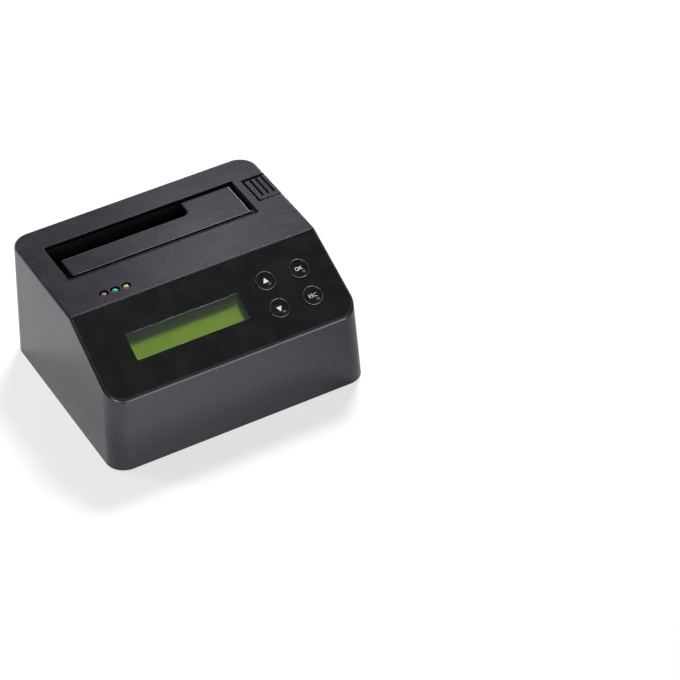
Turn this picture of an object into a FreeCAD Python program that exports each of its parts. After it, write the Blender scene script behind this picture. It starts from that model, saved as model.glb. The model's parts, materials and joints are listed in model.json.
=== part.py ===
import FreeCAD, Part
import math
import os

# Hard drive eraser dock: a drive slot in a wedge-shaped housing with a display and keys.
# Millimetres. +Z is up, +X is right and -Y is the front. The origin is on the table, in the
# middle of the footprint.

V = FreeCAD.Vector
UP = V(0, 0, 1)
BACK = V(0, 1, 0)
RIGHT = V(1, 0, 0)

# Drive slot, which the housing is drawn round
slot_width = 108.55
slot_depth = 30.95
slot_corner = 0.8

# Housing
slot_left_margin = 12.85
slot_right_margin = 18.1
slot_rear_margin = 16.45
slot_front_margin = 26.2
slope_run = 46.06
body_height = 69.2
front_height = 44.2
foot_lift = 1.0
side_draft = math.radians(2.6)
end_draft = math.radians(1.4)
corner_radius = 10.5
edge_round = 1.2
wall = 2.2

# Fits and clearances
part_fit = 0.15
seat_gap = 0.05
run_fit = 0.08
screw_fit = 0.05
moving_gap = 0.4

# Front panel, let into the sloped face
panel_thickness = 1.5
panel_sink = 0.3
panel_skin = 1.8
panel_rim = 1.7
crease_rim = 0.7

# Display behind the panel
window_x = -15.55
window_width = 63.7
window_height = 15.3
window_corner = 0.8
window_ledge = 0.8
bezel_side = 3.75
bezel_edge = 4.95
bezel_depth = 6.4
bezel_sheet = 0.5
glass_thickness = 2.2
lcd_board_side = 4.4
lcd_board_edge = 5.4
lcd_screw_inset = 2.5
board_thickness = 1.6

# Keys and their switches
keypad_from_window = 25.75
key_pitch_x = 19.2
key_pitch_up = 16.3
key_diameter = 10.5
key_gap = 0.25
key_proud = 0.4
key_travel = 0.5
key_edge = 0.35
key_flange_rim = 1.1
key_flange_thickness = 0.9
key_stem_diameter = 3.4
key_stem_length = 1.4
switch_size = 6.0
plunger_depth = 1.2
plunger_show = 0.7
key_board_margin = 7.0
key_board_height = 33.0
key_screw_up = 13.0

# Indicator lamps in the top
led_from_slot_left = 16.75
led_from_crease = 8.1
led_pitch = 6.2
led_hole = 5.2
led_diameter = 3.0
led_flange = 3.8
led_flange_height = 1.0
led_height = 5.3
led_sink = 0.3
led_lead = 0.5
led_lead_pitch = 2.54
led_lead_length = 3.2
led_board_margin = 7.8
led_board_depth = 9.0
led_board_thickness = 1.2
led_screw_from_end = 2.6

# Well under the slot
under_floor_room = 11.6
well_wall = 1.8
lug_reach = 38.0
lug_drop = 12.0
lug_thickness = 2.5
lug_radius = 3.6

# Flap over the slot
flap_drop = 1.2
flap_thickness = 2.2
flap_left_gap = 4.1
flap_right_gap = 3.0
flap_rear_gap = 1.65
flap_front_gap = 3.8
flap_notch_width = 77.85
flap_strip = 14.3
flap_notch_corner = 4.0
flap_bevel = 0.5
flap_rib = 1.4
flap_rib_depth = 1.3
flap_rib_count = 4
flap_rib_inset = 4.0
barrel_radius = 1.0
barrel_gap = 1.8
barrel_drop = 0.3
barrel_overhang = 2.0
hinge_web = 1.4
stop_length = 3.4
stop_drop = 0.4
stop_thickness = 1.2
stop_width = 1.6
hinge_pin_diameter = 1.0
flap_spring_wire = 0.45
flap_spring_turns = 4
flap_spring_leg = 6.0
flap_spring_hook = 3.0

# Eject button, spring and lever
eject_from_slot = 4.2
eject_from_slot_front = 8.0
eject_length = 20.45
eject_gap = 1.0
eject_drop = 0.3
eject_lip = 9.0
eject_travel = 4.5
eject_shell = 1.8
eject_skirt = 1.2
groove_pitch = 3.3
groove_width = 1.0
groove_depth = 1.0
groove_length = 15.0
groove_count = 3
groove_shift = 0.55
leg_diameter = 4.0
leg_gap = 0.2
shelf_drop = 19.0
shelf_thickness = 2.2
shelf_reach = 3.2
shelf_corner = 1.2
eject_spring_wire = 0.6
eject_spring_turns = 5
lever_short = 22.4
lever_thickness = 5.0
lever_arm = 3.2
lever_hub = 3.4
pivot_below_floor = 6.6
finger_width = 5.0
finger_from_connector = 9.2
finger_reach = 8.0
finger_below_seat = 0.3
pivot_pin_diameter = 3.0
ear_thickness = 2.0

# Base plate, its screws and feet
base_thickness = 2.0
boss_inset = 11.4
boss_radius = 3.6
boss_height = 19.0
boss_rib = 1.6
base_screw_diameter = 2.6
base_screw_head = 5.4
base_screw_length = 11.0
foot_from_boss = 15.0
foot_diameter = 12.0
foot_recess = 0.8
foot_edge = 0.5

# Small screws of the boards
screw_diameter = 1.9
screw_head = 3.8
screw_head_height = 1.4
screw_length = 5.0
screw_boss = 2.6

# Main board and what stands on it
standoff = 1.6
board_side_gap = 20.6
board_front_gap = 31.2
board_rear_gap = 4.2
board_screw_inset = 4.5
board_screw_rear = 34.0
chip_height = 1.4
chip_pitch = 24.0
chip_from_front = 20.0
chip_sizes = (10.0, 17.0, 12.0)
capacitor_diameter = 8.0
capacitor_height = 9.0
capacitor_edge = 0.6
capacitor_pitch = 11.0
capacitor_count = 3

# Drive connector
sata_from_slot_left = 29.35
sata_from_slot_rear = 3.9
sata_length = 41.4
sata_thickness = 5.2
sata_above_seat = 5.5
sata_foot_rim = 1.3
sata_slot_depth = 5.0
sata_slot_width = 1.5
sata_key_depth = 1.3
data_slot_length = 10.4
power_slot_length = 20.6
slot_bridge = 3.0
data_contacts = 7
power_contacts = 15
contact_pitch = 1.27
contact_width = 0.7
contact_thickness = 0.25
contact_length = 4.0

# Rear sockets and power switch
usb_x = -22.0
usb_width = 12.0
usb_height = 10.8
usb_depth = 14.5
usb_sheet = 0.5
usb_mouth_width = 8.5
usb_mouth_height = 7.8
usb_chamfer = 1.6
usb_mouth_depth = 9.0
usb_tongue_width = 5.6
usb_tongue_height = 3.2
jack_x = 4.0
jack_width = 9.0
jack_height = 10.8
jack_depth = 14.0
jack_bore = 6.4
jack_bore_depth = 9.5
jack_pin = 2.0
jack_pin_length = 8.5
jack_pin_edge = 0.5
rocker_x = 32.0
rocker_over_board = 6.0
rocker_length = 12.8
rocker_width = 8.0
rocker_tilt = math.radians(8.0)
rocker_pivot_depth = 5.5
rocker_dip = 1.0
rocker_root = 2.2
rocker_trunnion = 2.0
frame_wall = 1.3
frame_depth = 11.0

# Flat cable from the main board to the display
ribbon_width = 20.0
ribbon_thickness = 0.8
ribbon_bend = 8.0
ribbon_straight = 8.0
ribbon_from_row = 12.0
ribbon_socket_height = 3.0
ribbon_socket_depth = 4.0
ribbon_socket_rim = 2.2

# Housing places that follow from the sizes above
top_width = slot_left_margin + slot_width + slot_right_margin
top_depth = slot_front_margin + slot_depth + slot_rear_margin
side_spread = (body_height - foot_lift) * math.tan(side_draft)
rear_spread = (body_height - foot_lift) * math.tan(end_draft)
front_spread = (front_height - foot_lift) * math.tan(end_draft)
base_width = top_width + 2 * side_spread
base_depth = front_spread + slope_run + top_depth + rear_spread
rear_top = base_depth / 2 - rear_spread
front_edge = V(0, front_spread - base_depth / 2, front_height)
crease = V(0, rear_top - top_depth, body_height)
under_top = body_height - wall
far = base_width + base_depth + body_height

# The sloped face: its own frame has X across, Y up the slope and Z outwards
slope_angle = math.degrees(math.atan2(crease.z - front_edge.z, crease.y - front_edge.y))
slope_length = crease.distanceToPoint(front_edge)
panel_frame = FreeCAD.Placement(front_edge, FreeCAD.Rotation(RIGHT, slope_angle))
panel_normal = panel_frame.Rotation.multVec(UP)
control_row = slope_length / 2
keypad_x = window_x + window_width / 2 + keypad_from_window
bezel_width = window_width + 2 * bezel_side
bezel_height = window_height + 2 * bezel_edge
lcd_board_width = bezel_width + 2 * lcd_board_side
lcd_board_height = bezel_height + 2 * lcd_board_edge
panel_recess = panel_sink + panel_thickness
skin_depth = panel_recess + panel_skin
bezel_top = -skin_depth - seat_gap
glass_top = bezel_top - bezel_sheet - seat_gap
panel_board_top = bezel_top - bezel_depth
panel_board_under = panel_board_top - board_thickness
key_flange_top = -skin_depth - seat_gap
key_flange_low = key_flange_top - key_flange_thickness
plunger_top = key_flange_low - key_stem_length
switch_top = plunger_top - plunger_show
key_places = {
    "up": (keypad_x - key_pitch_x / 2, control_row + key_pitch_up / 2),
    "ok": (keypad_x + key_pitch_x / 2, control_row + key_pitch_up / 2),
    "down": (keypad_x - key_pitch_x / 2, control_row - key_pitch_up / 2),
    "esc": (keypad_x + key_pitch_x / 2, control_row - key_pitch_up / 2),
}

# Heights inside the housing
base_top = foot_lift + base_thickness
board_under = base_top + standoff
board_top = board_under + board_thickness
floor_under = board_top + under_floor_room
drive_seat = floor_under + well_wall
led_base = body_height - led_sink - led_height
lug_low = under_top - lug_drop
lug_top = lug_low + lug_thickness

# Slot and flap places
slot_left = slot_left_margin - top_width / 2
slot_right = slot_left + slot_width
slot_rear = rear_top - slot_rear_margin
slot_front = slot_rear - slot_depth
slot_x = (slot_left + slot_right) / 2
flap_top = body_height - flap_drop
flap_under = flap_top - flap_thickness
flap_left = slot_left + flap_left_gap
flap_right = slot_right - flap_right_gap
flap_front = slot_front + flap_front_gap
flap_rear = slot_rear - flap_rear_gap
notch_right = slot_left + flap_notch_width
notch_front = flap_front + flap_strip
hinge_y = slot_front + barrel_gap + barrel_radius
hinge_z = flap_top - barrel_drop - barrel_radius

# Lamp places
led_x = slot_left + led_from_slot_left
led_y = crease.y + led_from_crease
led_board_length = 2 * (led_pitch + led_board_margin)

# Drive connector's place
sata_x = slot_left + sata_from_slot_left
sata_y = slot_rear - sata_from_slot_rear
sata_top = drive_seat + sata_above_seat
sata_slot_low = sata_top - sata_slot_depth
sata_slot_front = sata_y - sata_slot_width / 2

# Eject places
eject_left = slot_right + eject_from_slot
eject_front = slot_front + eject_from_slot_front
eject_top = body_height - eject_drop
skirt_inset = wall + moving_gap
hollow_left = eject_left + eject_gap + eject_shell
hollow_right = top_width / 2 - skirt_inset - eject_skirt
leg_x = (hollow_left + hollow_right) / 2
leg_y = eject_front + eject_length / 2
pivot_x = leg_x - lever_short
pivot_z = floor_under - pivot_below_floor
leg_low = pivot_z + lever_arm / 2 + leg_gap
finger_x = sata_x + sata_length / 2 + sata_foot_rim + finger_from_connector + finger_width / 2
lever_turn = math.asin(eject_travel / lever_short)
shelf_top = body_height - shelf_drop + shelf_thickness

# Base and board places
boss_x = base_width / 2 - boss_inset
boss_y = base_depth / 2 - boss_inset
foot_x = boss_x - foot_from_boss
board_right = base_width / 2 - board_side_gap
board_front = board_front_gap - base_depth / 2
rocker_z = board_top + rocker_over_board


# Plain shapes
def box(x0, x1, y0, y1, z0, z1):
    return Part.makeBox(x1 - x0, y1 - y0, z1 - z0, V(x0, y0, z0))


def centred_box(x, y, width, depth, z0, z1):
    return box(x - width / 2, x + width / 2, y - depth / 2, y + depth / 2, z0, z1)


def rod(diameter, start, axis, length):
    return Part.makeCylinder(diameter / 2, length, start, axis)


def rod_between(diameter, start, end):
    return rod(diameter, start, end - start, start.distanceToPoint(end))


def prism(points, extrusion):
    return Part.Face(Part.makePolygon(points + points[:1])).extrude(extrusion)


def upright_edges(shape):
    straight = [e for e in shape.Edges if len(e.Vertexes) == 2]
    return [e for e in straight if abs(e.tangentAt(e.FirstParameter).z) > 0.9]


def rounded(shape, radius):
    return shape.makeFillet(radius, upright_edges(shape))


def union(shapes):
    return shapes[0].fuse(shapes[1:]).removeSplitter()


def group(shapes):
    return Part.makeCompound(shapes)


def on_panel(shape):
    shape.Placement = panel_frame.multiply(shape.Placement)
    return shape


def beyond(point, normal):
    """A block that fills the space on the normal's side of a plane."""
    block = Part.makeBox(2 * far, 2 * far, 2 * far, V(-far, -far, 0))
    block.Placement = FreeCAD.Placement(point, FreeCAD.Rotation(UP, normal))
    return block


def facing(shape, normal):
    flat = [f for f in shape.Faces if f.Surface.TypeId == "Part::GeomPlane"]
    return [f for f in flat if f.normalAt(0, 0).getAngle(normal) < 0.01]


def coil(start, turn, radius, wire, pitch, turns):
    """A square wire wound along its own Z from the start, turned to the spring's axis."""
    path = Part.makeHelix(pitch, pitch * turns, radius)
    half = wire / 2
    corners = [V(radius + x, 0, z) for x, z in ((-half, -half), (half, -half), (half, half), (-half, half))]
    spring = Part.Wire(path.Edges).makePipeShell([Part.makePolygon(corners + corners[:1])], True, True)
    spring.Placement = FreeCAD.Placement(start, turn)
    return spring


def bent_path(points, radius):
    """Straight runs through the points, with a tangent arc at each corner."""
    edges = []
    reached = points[0]
    for before, corner, after in zip(points, points[1:], points[2:]):
        arrive = (corner - before).normalize()
        leave = (after - corner).normalize()
        half_turn = arrive.getAngle(leave) / 2
        start = corner - arrive * radius * math.tan(half_turn)
        end = corner + leave * radius * math.tan(half_turn)
        middle = corner + (leave - arrive).normalize() * radius * (1 / math.cos(half_turn) - 1)
        edges.append(Part.LineSegment(reached, start).toShape())
        edges.append(Part.Arc(start, middle, end).toShape())
        reached = end
    edges.append(Part.LineSegment(reached, points[-1]).toShape())
    return Part.Wire(edges)


# Housing forms
def side_planes():
    """A point and the outward normal of each drafted side."""
    across = V(math.cos(side_draft), 0, math.sin(side_draft))
    along = V(0, math.cos(end_draft), math.sin(end_draft))
    return [
        (V(base_width / 2, 0, foot_lift), across),
        (V(-base_width / 2, 0, foot_lift), V(-across.x, 0, across.z)),
        (V(0, base_depth / 2, foot_lift), along),
        (V(0, -base_depth / 2, foot_lift), V(0, -along.y, along.z)),
    ]


def side_form(inset, low, high):
    """The four drafted sides with their round corners, drawn in by an inset."""
    form = box(-base_width, base_width, -base_depth, base_depth, low, high)
    for point, normal in side_planes():
        form = form.cut(beyond(point - normal * inset, normal))
    return rounded(form, corner_radius - inset)


def body_form(inset, low, top_inset, slope_inset):
    """The whole wedge: the drafted sides under the flat top and the sloped face."""
    form = side_form(inset, low, body_height - top_inset)
    return form.cut(beyond(front_edge - panel_normal * slope_inset, panel_normal))


def outer_form():
    """The wedge with its rim rounded, and the crease under the panel's top edge left sharp."""
    form = body_form(0, foot_lift, 0, 0)
    top_edges = facing(form, UP)[0].Edges
    slope_edges = facing(form, panel_normal)[0].Edges
    crease_edges = [e for e in top_edges if any(e.isSame(s) for s in slope_edges)]
    rim = [e for e in top_edges + slope_edges if not any(e.isSame(c) for c in crease_edges)]
    return form.makeFillet(edge_round, rim)


def rear_wall(height):
    """Where the rear wall's outer face is at a height."""
    return base_depth / 2 - (height - foot_lift) * math.tan(end_draft)


def panel_slab(low, high, fit):
    """A layer along the sloped face, between two depths, inside the panel's outline."""
    reach = slope_length - crease_rim - fit
    layer = on_panel(box(-base_width, base_width, -base_depth, reach, low, high))
    return layer.common(side_form(panel_rim + fit, 0, 2 * body_height))


def window_block(margin, low, high):
    width = window_width + 2 * margin
    height = window_height + 2 * margin
    return on_panel(rounded(centred_box(window_x, control_row, width, height, low, high), window_corner))


def key_rod(diameter, place, low, high):
    x, up = key_places[place]
    return rod(diameter, V(x, up, low), UP, high - low)


# Where things are fastened
def corner_places(x, y):
    return [V(sx * x, sy * y, 0) for sx in (-1, 1) for sy in (-1, 1)]


def lug_places():
    ahead = slot_front - well_wall - lug_radius
    behind = slot_rear + well_wall + lug_radius
    return [V(slot_x + side * lug_reach, y, 0) for side in (-1, 1) for y in (ahead, behind)]


def panel_screw_places():
    """Screws of the display's board and the key board, in the panel's frame."""
    half_x = lcd_board_width / 2 - lcd_screw_inset
    half_up = lcd_board_height / 2 - lcd_screw_inset
    display = [p + V(window_x, control_row, 0) for p in corner_places(half_x, half_up)]
    keys = [V(keypad_x, control_row + side * key_screw_up, 0) for side in (-1, 1)]
    return display + keys


def led_screw_places():
    reach = led_board_length / 2 - led_screw_from_end
    return [V(led_x + side * reach, led_y, 0) for side in (-1, 1)]


def board_screw_places():
    x = board_right - board_screw_inset
    front = board_front + board_screw_inset
    return [V(side * x, y, 0) for side in (-1, 1) for y in (front, base_depth / 2 - board_screw_rear)]


def led_places():
    return [V(led_x + step * led_pitch, led_y, 0) for step in (-1, 0, 1)]


# Housing
def corner_bosses():
    """Posts for the base screws, each tied to both walls of its corner by a rib."""
    top = base_top + boss_height
    bosses = []
    for place in corner_places(boss_x, boss_y):
        x0, x1 = sorted((place.x, math.copysign(base_width, place.x)))
        y0, y1 = sorted((place.y, math.copysign(base_depth, place.y)))
        post = rod(2 * boss_radius, place + UP * base_top, UP, boss_height)
        rib_x = box(x0, x1, place.y - boss_rib / 2, place.y + boss_rib / 2, base_top, top)
        rib_y = box(place.x - boss_rib / 2, place.x + boss_rib / 2, y0, y1, base_top, top)
        bosses.append(union([post, rib_x, rib_y]))
    return bosses


def hanging_bosses():
    """Screw bosses under the top and under the sloped face."""
    into_top = body_height - wall / 2
    into_slope = -skin_depth + panel_skin / 2
    bosses = [rod(2 * lug_radius, p + UP * lug_top, UP, into_top - lug_top) for p in lug_places()]
    for place in led_screw_places():
        bosses.append(rod(2 * screw_boss, place + UP * led_base, UP, into_top - led_base))
    for place in panel_screw_places():
        boss = rod(2 * screw_boss, place + UP * panel_board_top, UP, into_slope - panel_board_top)
        bosses.append(on_panel(boss))
    return bosses


def boss_bores():
    large = base_screw_diameter + 2 * screw_fit
    small = screw_diameter + 2 * screw_fit
    bores = [rod(large, p + UP * base_top, UP, base_screw_length) for p in corner_places(boss_x, boss_y)]
    bores += [rod(large, p + UP * lug_top, UP, under_top - lug_top) for p in lug_places()]
    bores += [rod(small, p + UP * led_base, UP, screw_length) for p in led_screw_places()]
    bores += [on_panel(rod(small, p + UP * panel_board_top, UP, screw_length)) for p in panel_screw_places()]
    return bores


def eject_space(gap, drop):
    """The eject button's place in the top and the right side, drawn in by a gap."""
    low = body_height - eject_lip - drop
    return box(eject_left + gap, base_width, eject_front + gap, eject_front + eject_length - gap, low, far)


def rear_openings():
    sizes = [
        (usb_x, board_top + usb_height / 2, usb_width, usb_height),
        (jack_x, board_top + jack_height / 2, jack_width, jack_height),
        (rocker_x, rocker_z, rocker_span(), rocker_width + 2 * moving_gap),
    ]
    cuts = []
    for x, z, width, height in sizes:
        half_x = width / 2 + part_fit
        half_z = height / 2 + part_fit
        inner = base_depth / 2 - 3 * wall
        cuts.append(box(x - half_x, x + half_x, inner, base_depth, z - half_z, z + half_z))
    return cuts


def pin_relief():
    """Room in the top's underside over the ends of the flap's hinge pin."""
    start = V(slot_left - well_wall - part_fit, hinge_y, hinge_z)
    return rod(hinge_pin_diameter + 2 * part_fit, start, RIGHT, slot_width + 2 * (well_wall + part_fit))


def upper_housing():
    shell = outer_form().cut(body_form(wall, -foot_lift, wall, skin_depth))
    inside = body_form(wall / 2, base_top, wall / 2, skin_depth - panel_skin / 2)
    bosses = [boss.common(inside) for boss in corner_bosses() + hanging_bosses()]
    shell = shell.fuse(bosses).removeSplitter()
    slot = box(slot_left, slot_right, slot_front, slot_rear, under_top - wall, far)
    cuts = [rounded(slot, slot_corner)]
    cuts.append(panel_slab(-panel_recess, body_height, 0))
    cuts.append(window_block(window_ledge, -2 * skin_depth, 0))
    cuts.append(eject_space(0, eject_travel + moving_gap))
    cuts.append(pin_relief())
    for key in key_places:
        cuts.append(on_panel(key_rod(key_diameter + 2 * moving_gap, key, -2 * skin_depth, 0)))
    cuts += [rod(led_hole, p + UP * under_top, UP, 2 * wall) for p in led_places()]
    return shell.cut(cuts + boss_bores() + rear_openings()).removeSplitter()


# Base
def base_screw(place, fit):
    """A countersunk screw, flush with the base plate's underside."""
    head_depth = (base_screw_head - base_screw_diameter) / 2
    foot = place + UP * foot_lift
    head = Part.makeCone(base_screw_head / 2 + fit, base_screw_diameter / 2 + fit, head_depth, foot)
    return union([head, rod(base_screw_diameter + 2 * fit, foot, UP, base_screw_length)])


def base_screws():
    return group([base_screw(place, 0) for place in corner_places(boss_x, boss_y)])


def base_plate():
    plate = side_form(wall + part_fit, foot_lift, base_top)
    post_height = board_under - foot_lift
    posts = [rod(2 * screw_boss, p + UP * foot_lift, UP, post_height) for p in board_screw_places()]
    grip = screw_length - board_thickness
    cuts = [base_screw(place, screw_fit) for place in corner_places(boss_x, boss_y)]
    for place in corner_places(foot_x, boss_y):
        cuts.append(rod(foot_diameter + 2 * part_fit, place, UP, foot_lift + foot_recess))
    for place in board_screw_places():
        cuts.append(rod(screw_diameter + 2 * screw_fit, place + UP * (board_under - grip), UP, grip))
    return union([plate] + posts).cut(cuts)


def rubber_feet():
    feet = []
    for place in corner_places(foot_x, boss_y):
        foot = rod(foot_diameter, place, UP, foot_lift + foot_recess - seat_gap)
        rim = [e for e in foot.Edges if e.BoundBox.ZMax < foot_edge]
        feet.append(foot.makeChamfer(foot_edge, rim))
    return group(feet)


# Front panel and display
def front_panel():
    panel = panel_slab(-panel_recess, -panel_sink, part_fit)
    cuts = [window_block(0, -2 * skin_depth, skin_depth)]
    for key in key_places:
        cuts.append(on_panel(key_rod(key_diameter + 2 * key_gap, key, -2 * skin_depth, skin_depth)))
    return panel.cut(cuts)


def lcd_window():
    return window_block(-seat_gap, -panel_recess, -panel_sink)


def lcd_layer(inset, low, high):
    width = bezel_width - 2 * inset
    height = bezel_height - 2 * inset
    return on_panel(centred_box(window_x, control_row, width, height, low, high))


def lcd_bezel():
    hollow = lcd_layer(bezel_sheet, panel_board_top, bezel_top - bezel_sheet)
    view = window_block(window_ledge / 2, panel_board_top, 0)
    return lcd_layer(0, panel_board_top, bezel_top).cut([hollow, view])


def lcd_glass():
    return lcd_layer(bezel_sheet + part_fit, glass_top - glass_thickness, glass_top)


def lcd_backlight():
    return lcd_layer(bezel_sheet + part_fit, panel_board_top, glass_top - glass_thickness)


def panel_board(x, width, height):
    board = centred_box(x, control_row, width, height, panel_board_under, panel_board_top)
    holes = [rod(screw_diameter + 2 * screw_fit, p - UP * far, UP, 2 * far) for p in panel_screw_places()]
    return on_panel(board.cut(holes))


def lcd_board():
    return panel_board(window_x, lcd_board_width, lcd_board_height)


# Keys and their switches
def key_cap(place):
    top = key_proud - panel_sink
    head = key_rod(key_diameter, place, key_flange_low, top)
    head = head.makeChamfer(key_edge, [e for e in head.Edges if e.BoundBox.ZMin > top - key_edge])
    flange_diameter = key_diameter + 2 * (moving_gap + key_flange_rim)
    flange = key_rod(flange_diameter, place, key_flange_low, key_flange_top)
    stem = key_rod(key_stem_diameter, place, plunger_top, key_flange_low)
    return on_panel(union([head, flange, stem]))


def plunger(place):
    return on_panel(key_rod(key_stem_diameter, place, switch_top - plunger_depth, plunger_top))


def tact_switches():
    bore_low = switch_top - plunger_depth - key_travel - moving_gap
    switches = []
    for place, (x, up) in key_places.items():
        body = centred_box(x, up, switch_size, switch_size, panel_board_top, switch_top)
        bore = key_rod(key_stem_diameter + 2 * run_fit, place, bore_low, switch_top)
        switches.append(on_panel(body.cut(bore)))
    return group(switches)


def key_board():
    return panel_board(keypad_x, key_pitch_x + 2 * key_board_margin, key_board_height)


# Indicator lamps
def led(place):
    foot = place + UP * led_base
    shoulder = led_height - led_diameter / 2
    flange = rod(led_flange, foot, UP, led_flange_height)
    barrel = rod(led_diameter, foot, UP, shoulder)
    dome = Part.makeSphere(led_diameter / 2, foot + UP * shoulder)
    return union([flange, barrel, dome])


def led_lead_places():
    return [p + RIGHT * (side * led_lead_pitch / 2) for p in led_places() for side in (-1, 1)]


def led_leads():
    low = UP * (led_base - led_lead_length)
    return group([rod(led_lead, p + low, UP, led_lead_length) for p in led_lead_places()])


def led_board():
    low = led_base - led_board_thickness
    board = centred_box(led_x, led_y, led_board_length, led_board_depth, low, led_base)
    holes = [rod(led_lead + 2 * screw_fit, p, UP, far) for p in led_lead_places()]
    holes += [rod(screw_diameter + 2 * screw_fit, p, UP, far) for p in led_screw_places()]
    return board.cut(holes)


# Drive well
def finger_span():
    """How far the lever's finger runs across the slot, from the lever's arm to under the drive."""
    return leg_y - lever_thickness / 2, leg_y + lever_thickness / 2 + finger_reach


def lever_slots():
    """Openings in the well's floor for the finger and for the end of the rising arm."""
    left = finger_x - finger_width / 2 - moving_gap
    finger_right = finger_x + finger_width / 2 + (drive_seat - pivot_z) * math.sin(lever_turn) + moving_gap
    arm_room = floor_under - pivot_z - lever_arm / 2 - moving_gap
    arm_right = pivot_x - arm_room / math.tan(lever_turn) + lever_arm
    front, rear = finger_span()
    low = floor_under - well_wall
    high = drive_seat + well_wall
    finger = box(left, finger_right, front - moving_gap, rear + moving_gap, low, high)
    arm_rear = front + lever_thickness + moving_gap
    arm = box(left, max(arm_right, finger_right), front - moving_gap, arm_rear, low, high)
    return [finger, arm]


def pivot_ears():
    ears = []
    for side in (-1, 1):
        inner = leg_y + side * (lever_thickness / 2 + moving_gap)
        y0, y1 = sorted((inner, inner + side * ear_thickness))
        ear = box(pivot_x - lever_hub, pivot_x + lever_hub, y0, y1, pivot_z, floor_under + well_wall / 2)
        ears.append(union([ear, rod(2 * lever_hub, V(pivot_x, y0, pivot_z), BACK, y1 - y0)]))
    return ears


def guide_shelf(low):
    """A shelf outside the well's right wall that guides the eject button's leg."""
    front = leg_y - leg_diameter
    rear = leg_y + leg_diameter
    shelf = box(slot_right, leg_x + shelf_reach, front, rear, low, low + shelf_thickness)
    return rounded(shelf, shelf_corner)


def well_lugs():
    lugs = []
    for place in lug_places():
        y0, y1 = sorted((place.y, slot_front if place.y < slot_front else slot_rear))
        pad = rod(2 * lug_radius, place + UP * lug_low, UP, lug_thickness)
        arm = box(place.x - lug_radius, place.x + lug_radius, y0, y1, lug_low, lug_top)
        lugs.append(union([pad, arm]))
    return lugs


def flap_stop():
    """A block in the right-hand gap that the closed flap's stop comes up against."""
    right = slot_right + well_wall / 2
    left = flap_right + barrel_overhang - stop_width
    low = hinge_z - stop_drop + seat_gap
    return box(left, right, hinge_y + barrel_radius + moving_gap, hinge_y + stop_length, low, under_top)


def pin_cradles():
    """Notches in the well's side walls that the hinge pin is laid into from above."""
    width = hinge_pin_diameter + 2 * screw_fit
    throat = box(-base_width, base_width, hinge_y - width / 2, hinge_y + width / 2, hinge_z, far)
    return [rod(width, V(-base_width, hinge_y, hinge_z), RIGHT, 2 * base_width), throat]


def drive_well():
    outer = box(slot_left - well_wall, slot_right + well_wall, slot_front - well_wall, slot_rear + well_wall,
                floor_under, under_top)
    cavity = box(slot_left, slot_right, slot_front, slot_rear, drive_seat, far)
    upper_shelf = shelf_top - shelf_thickness
    add = [flap_stop(), guide_shelf(upper_shelf), guide_shelf(drive_seat)] + pivot_ears() + well_lugs()
    neck_width = sata_length + 2 * part_fit
    neck_depth = sata_thickness + 2 * part_fit
    cuts = [centred_box(sata_x, sata_y, neck_width, neck_depth, 0, far)] + lever_slots()
    cuts += pin_cradles()
    cuts.append(rod(pivot_pin_diameter + 2 * screw_fit, V(pivot_x, 0, pivot_z), BACK, base_depth))
    cuts.append(rod(leg_diameter + 2 * moving_gap, V(leg_x, leg_y, 0), UP, body_height))
    lug_hole = base_screw_diameter + 2 * part_fit
    cuts += [rod(lug_hole, p + UP * lug_low, UP, lug_thickness) for p in lug_places()]
    return outer.cut(cavity).fuse(add).removeSplitter().cut(cuts)


def well_screws():
    screws = []
    for place in lug_places():
        head = rod(base_screw_head, place + UP * (lug_low - screw_head_height), UP, screw_head_height)
        shank = rod(base_screw_diameter, place + UP * lug_low, UP, under_top - wall - lug_low)
        screws.append(union([head, shank]))
    return group(screws)


# Flap
def flap_plate():
    """The L-shaped plate, with its top edges bevelled."""
    plate = box(flap_left, flap_right, flap_front, flap_rear, flap_under, flap_top)
    notch = box(-base_width, notch_right, notch_front, base_depth, flap_under - wall, far)
    plate = plate.cut(rounded(notch, flap_notch_corner))
    return plate.makeChamfer(flap_bevel, facing(plate, UP)[0].Edges)


def flap_ribs():
    low = flap_under - flap_rib_depth
    first = flap_left + flap_rib_inset
    step = (flap_right - flap_rib_inset - flap_rib - first) / (flap_rib_count - 1)
    ribs = []
    for i in range(flap_rib_count):
        x = first + i * step
        rear = (flap_rear if x > notch_right else notch_front) - flap_rib
        ribs.append(box(x, x + flap_rib, flap_front, rear, low, flap_under))
    return ribs


def drive_flap():
    end = flap_right + barrel_overhang
    barrel = rod(2 * barrel_radius, V(flap_left, hinge_y, hinge_z), RIGHT, end - flap_left)
    web_rear = flap_front + flap_bevel + flap_thickness
    web = box(flap_left, flap_right, hinge_y, web_rear, hinge_z - hinge_web, hinge_z)
    high = hinge_z - stop_drop
    stop = box(end - stop_width, end, hinge_y, hinge_y + stop_length, high - stop_thickness, high)
    bore = rod(hinge_pin_diameter + 2 * run_fit, V(-base_width, hinge_y, hinge_z), RIGHT, 2 * base_width)
    return union([flap_plate(), web, barrel, stop] + flap_ribs()).cut(bore)


def flap_pin():
    start = V(slot_left - well_wall, hinge_y, hinge_z)
    return rod(hinge_pin_diameter, start, RIGHT, slot_width + 2 * well_wall)


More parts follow.
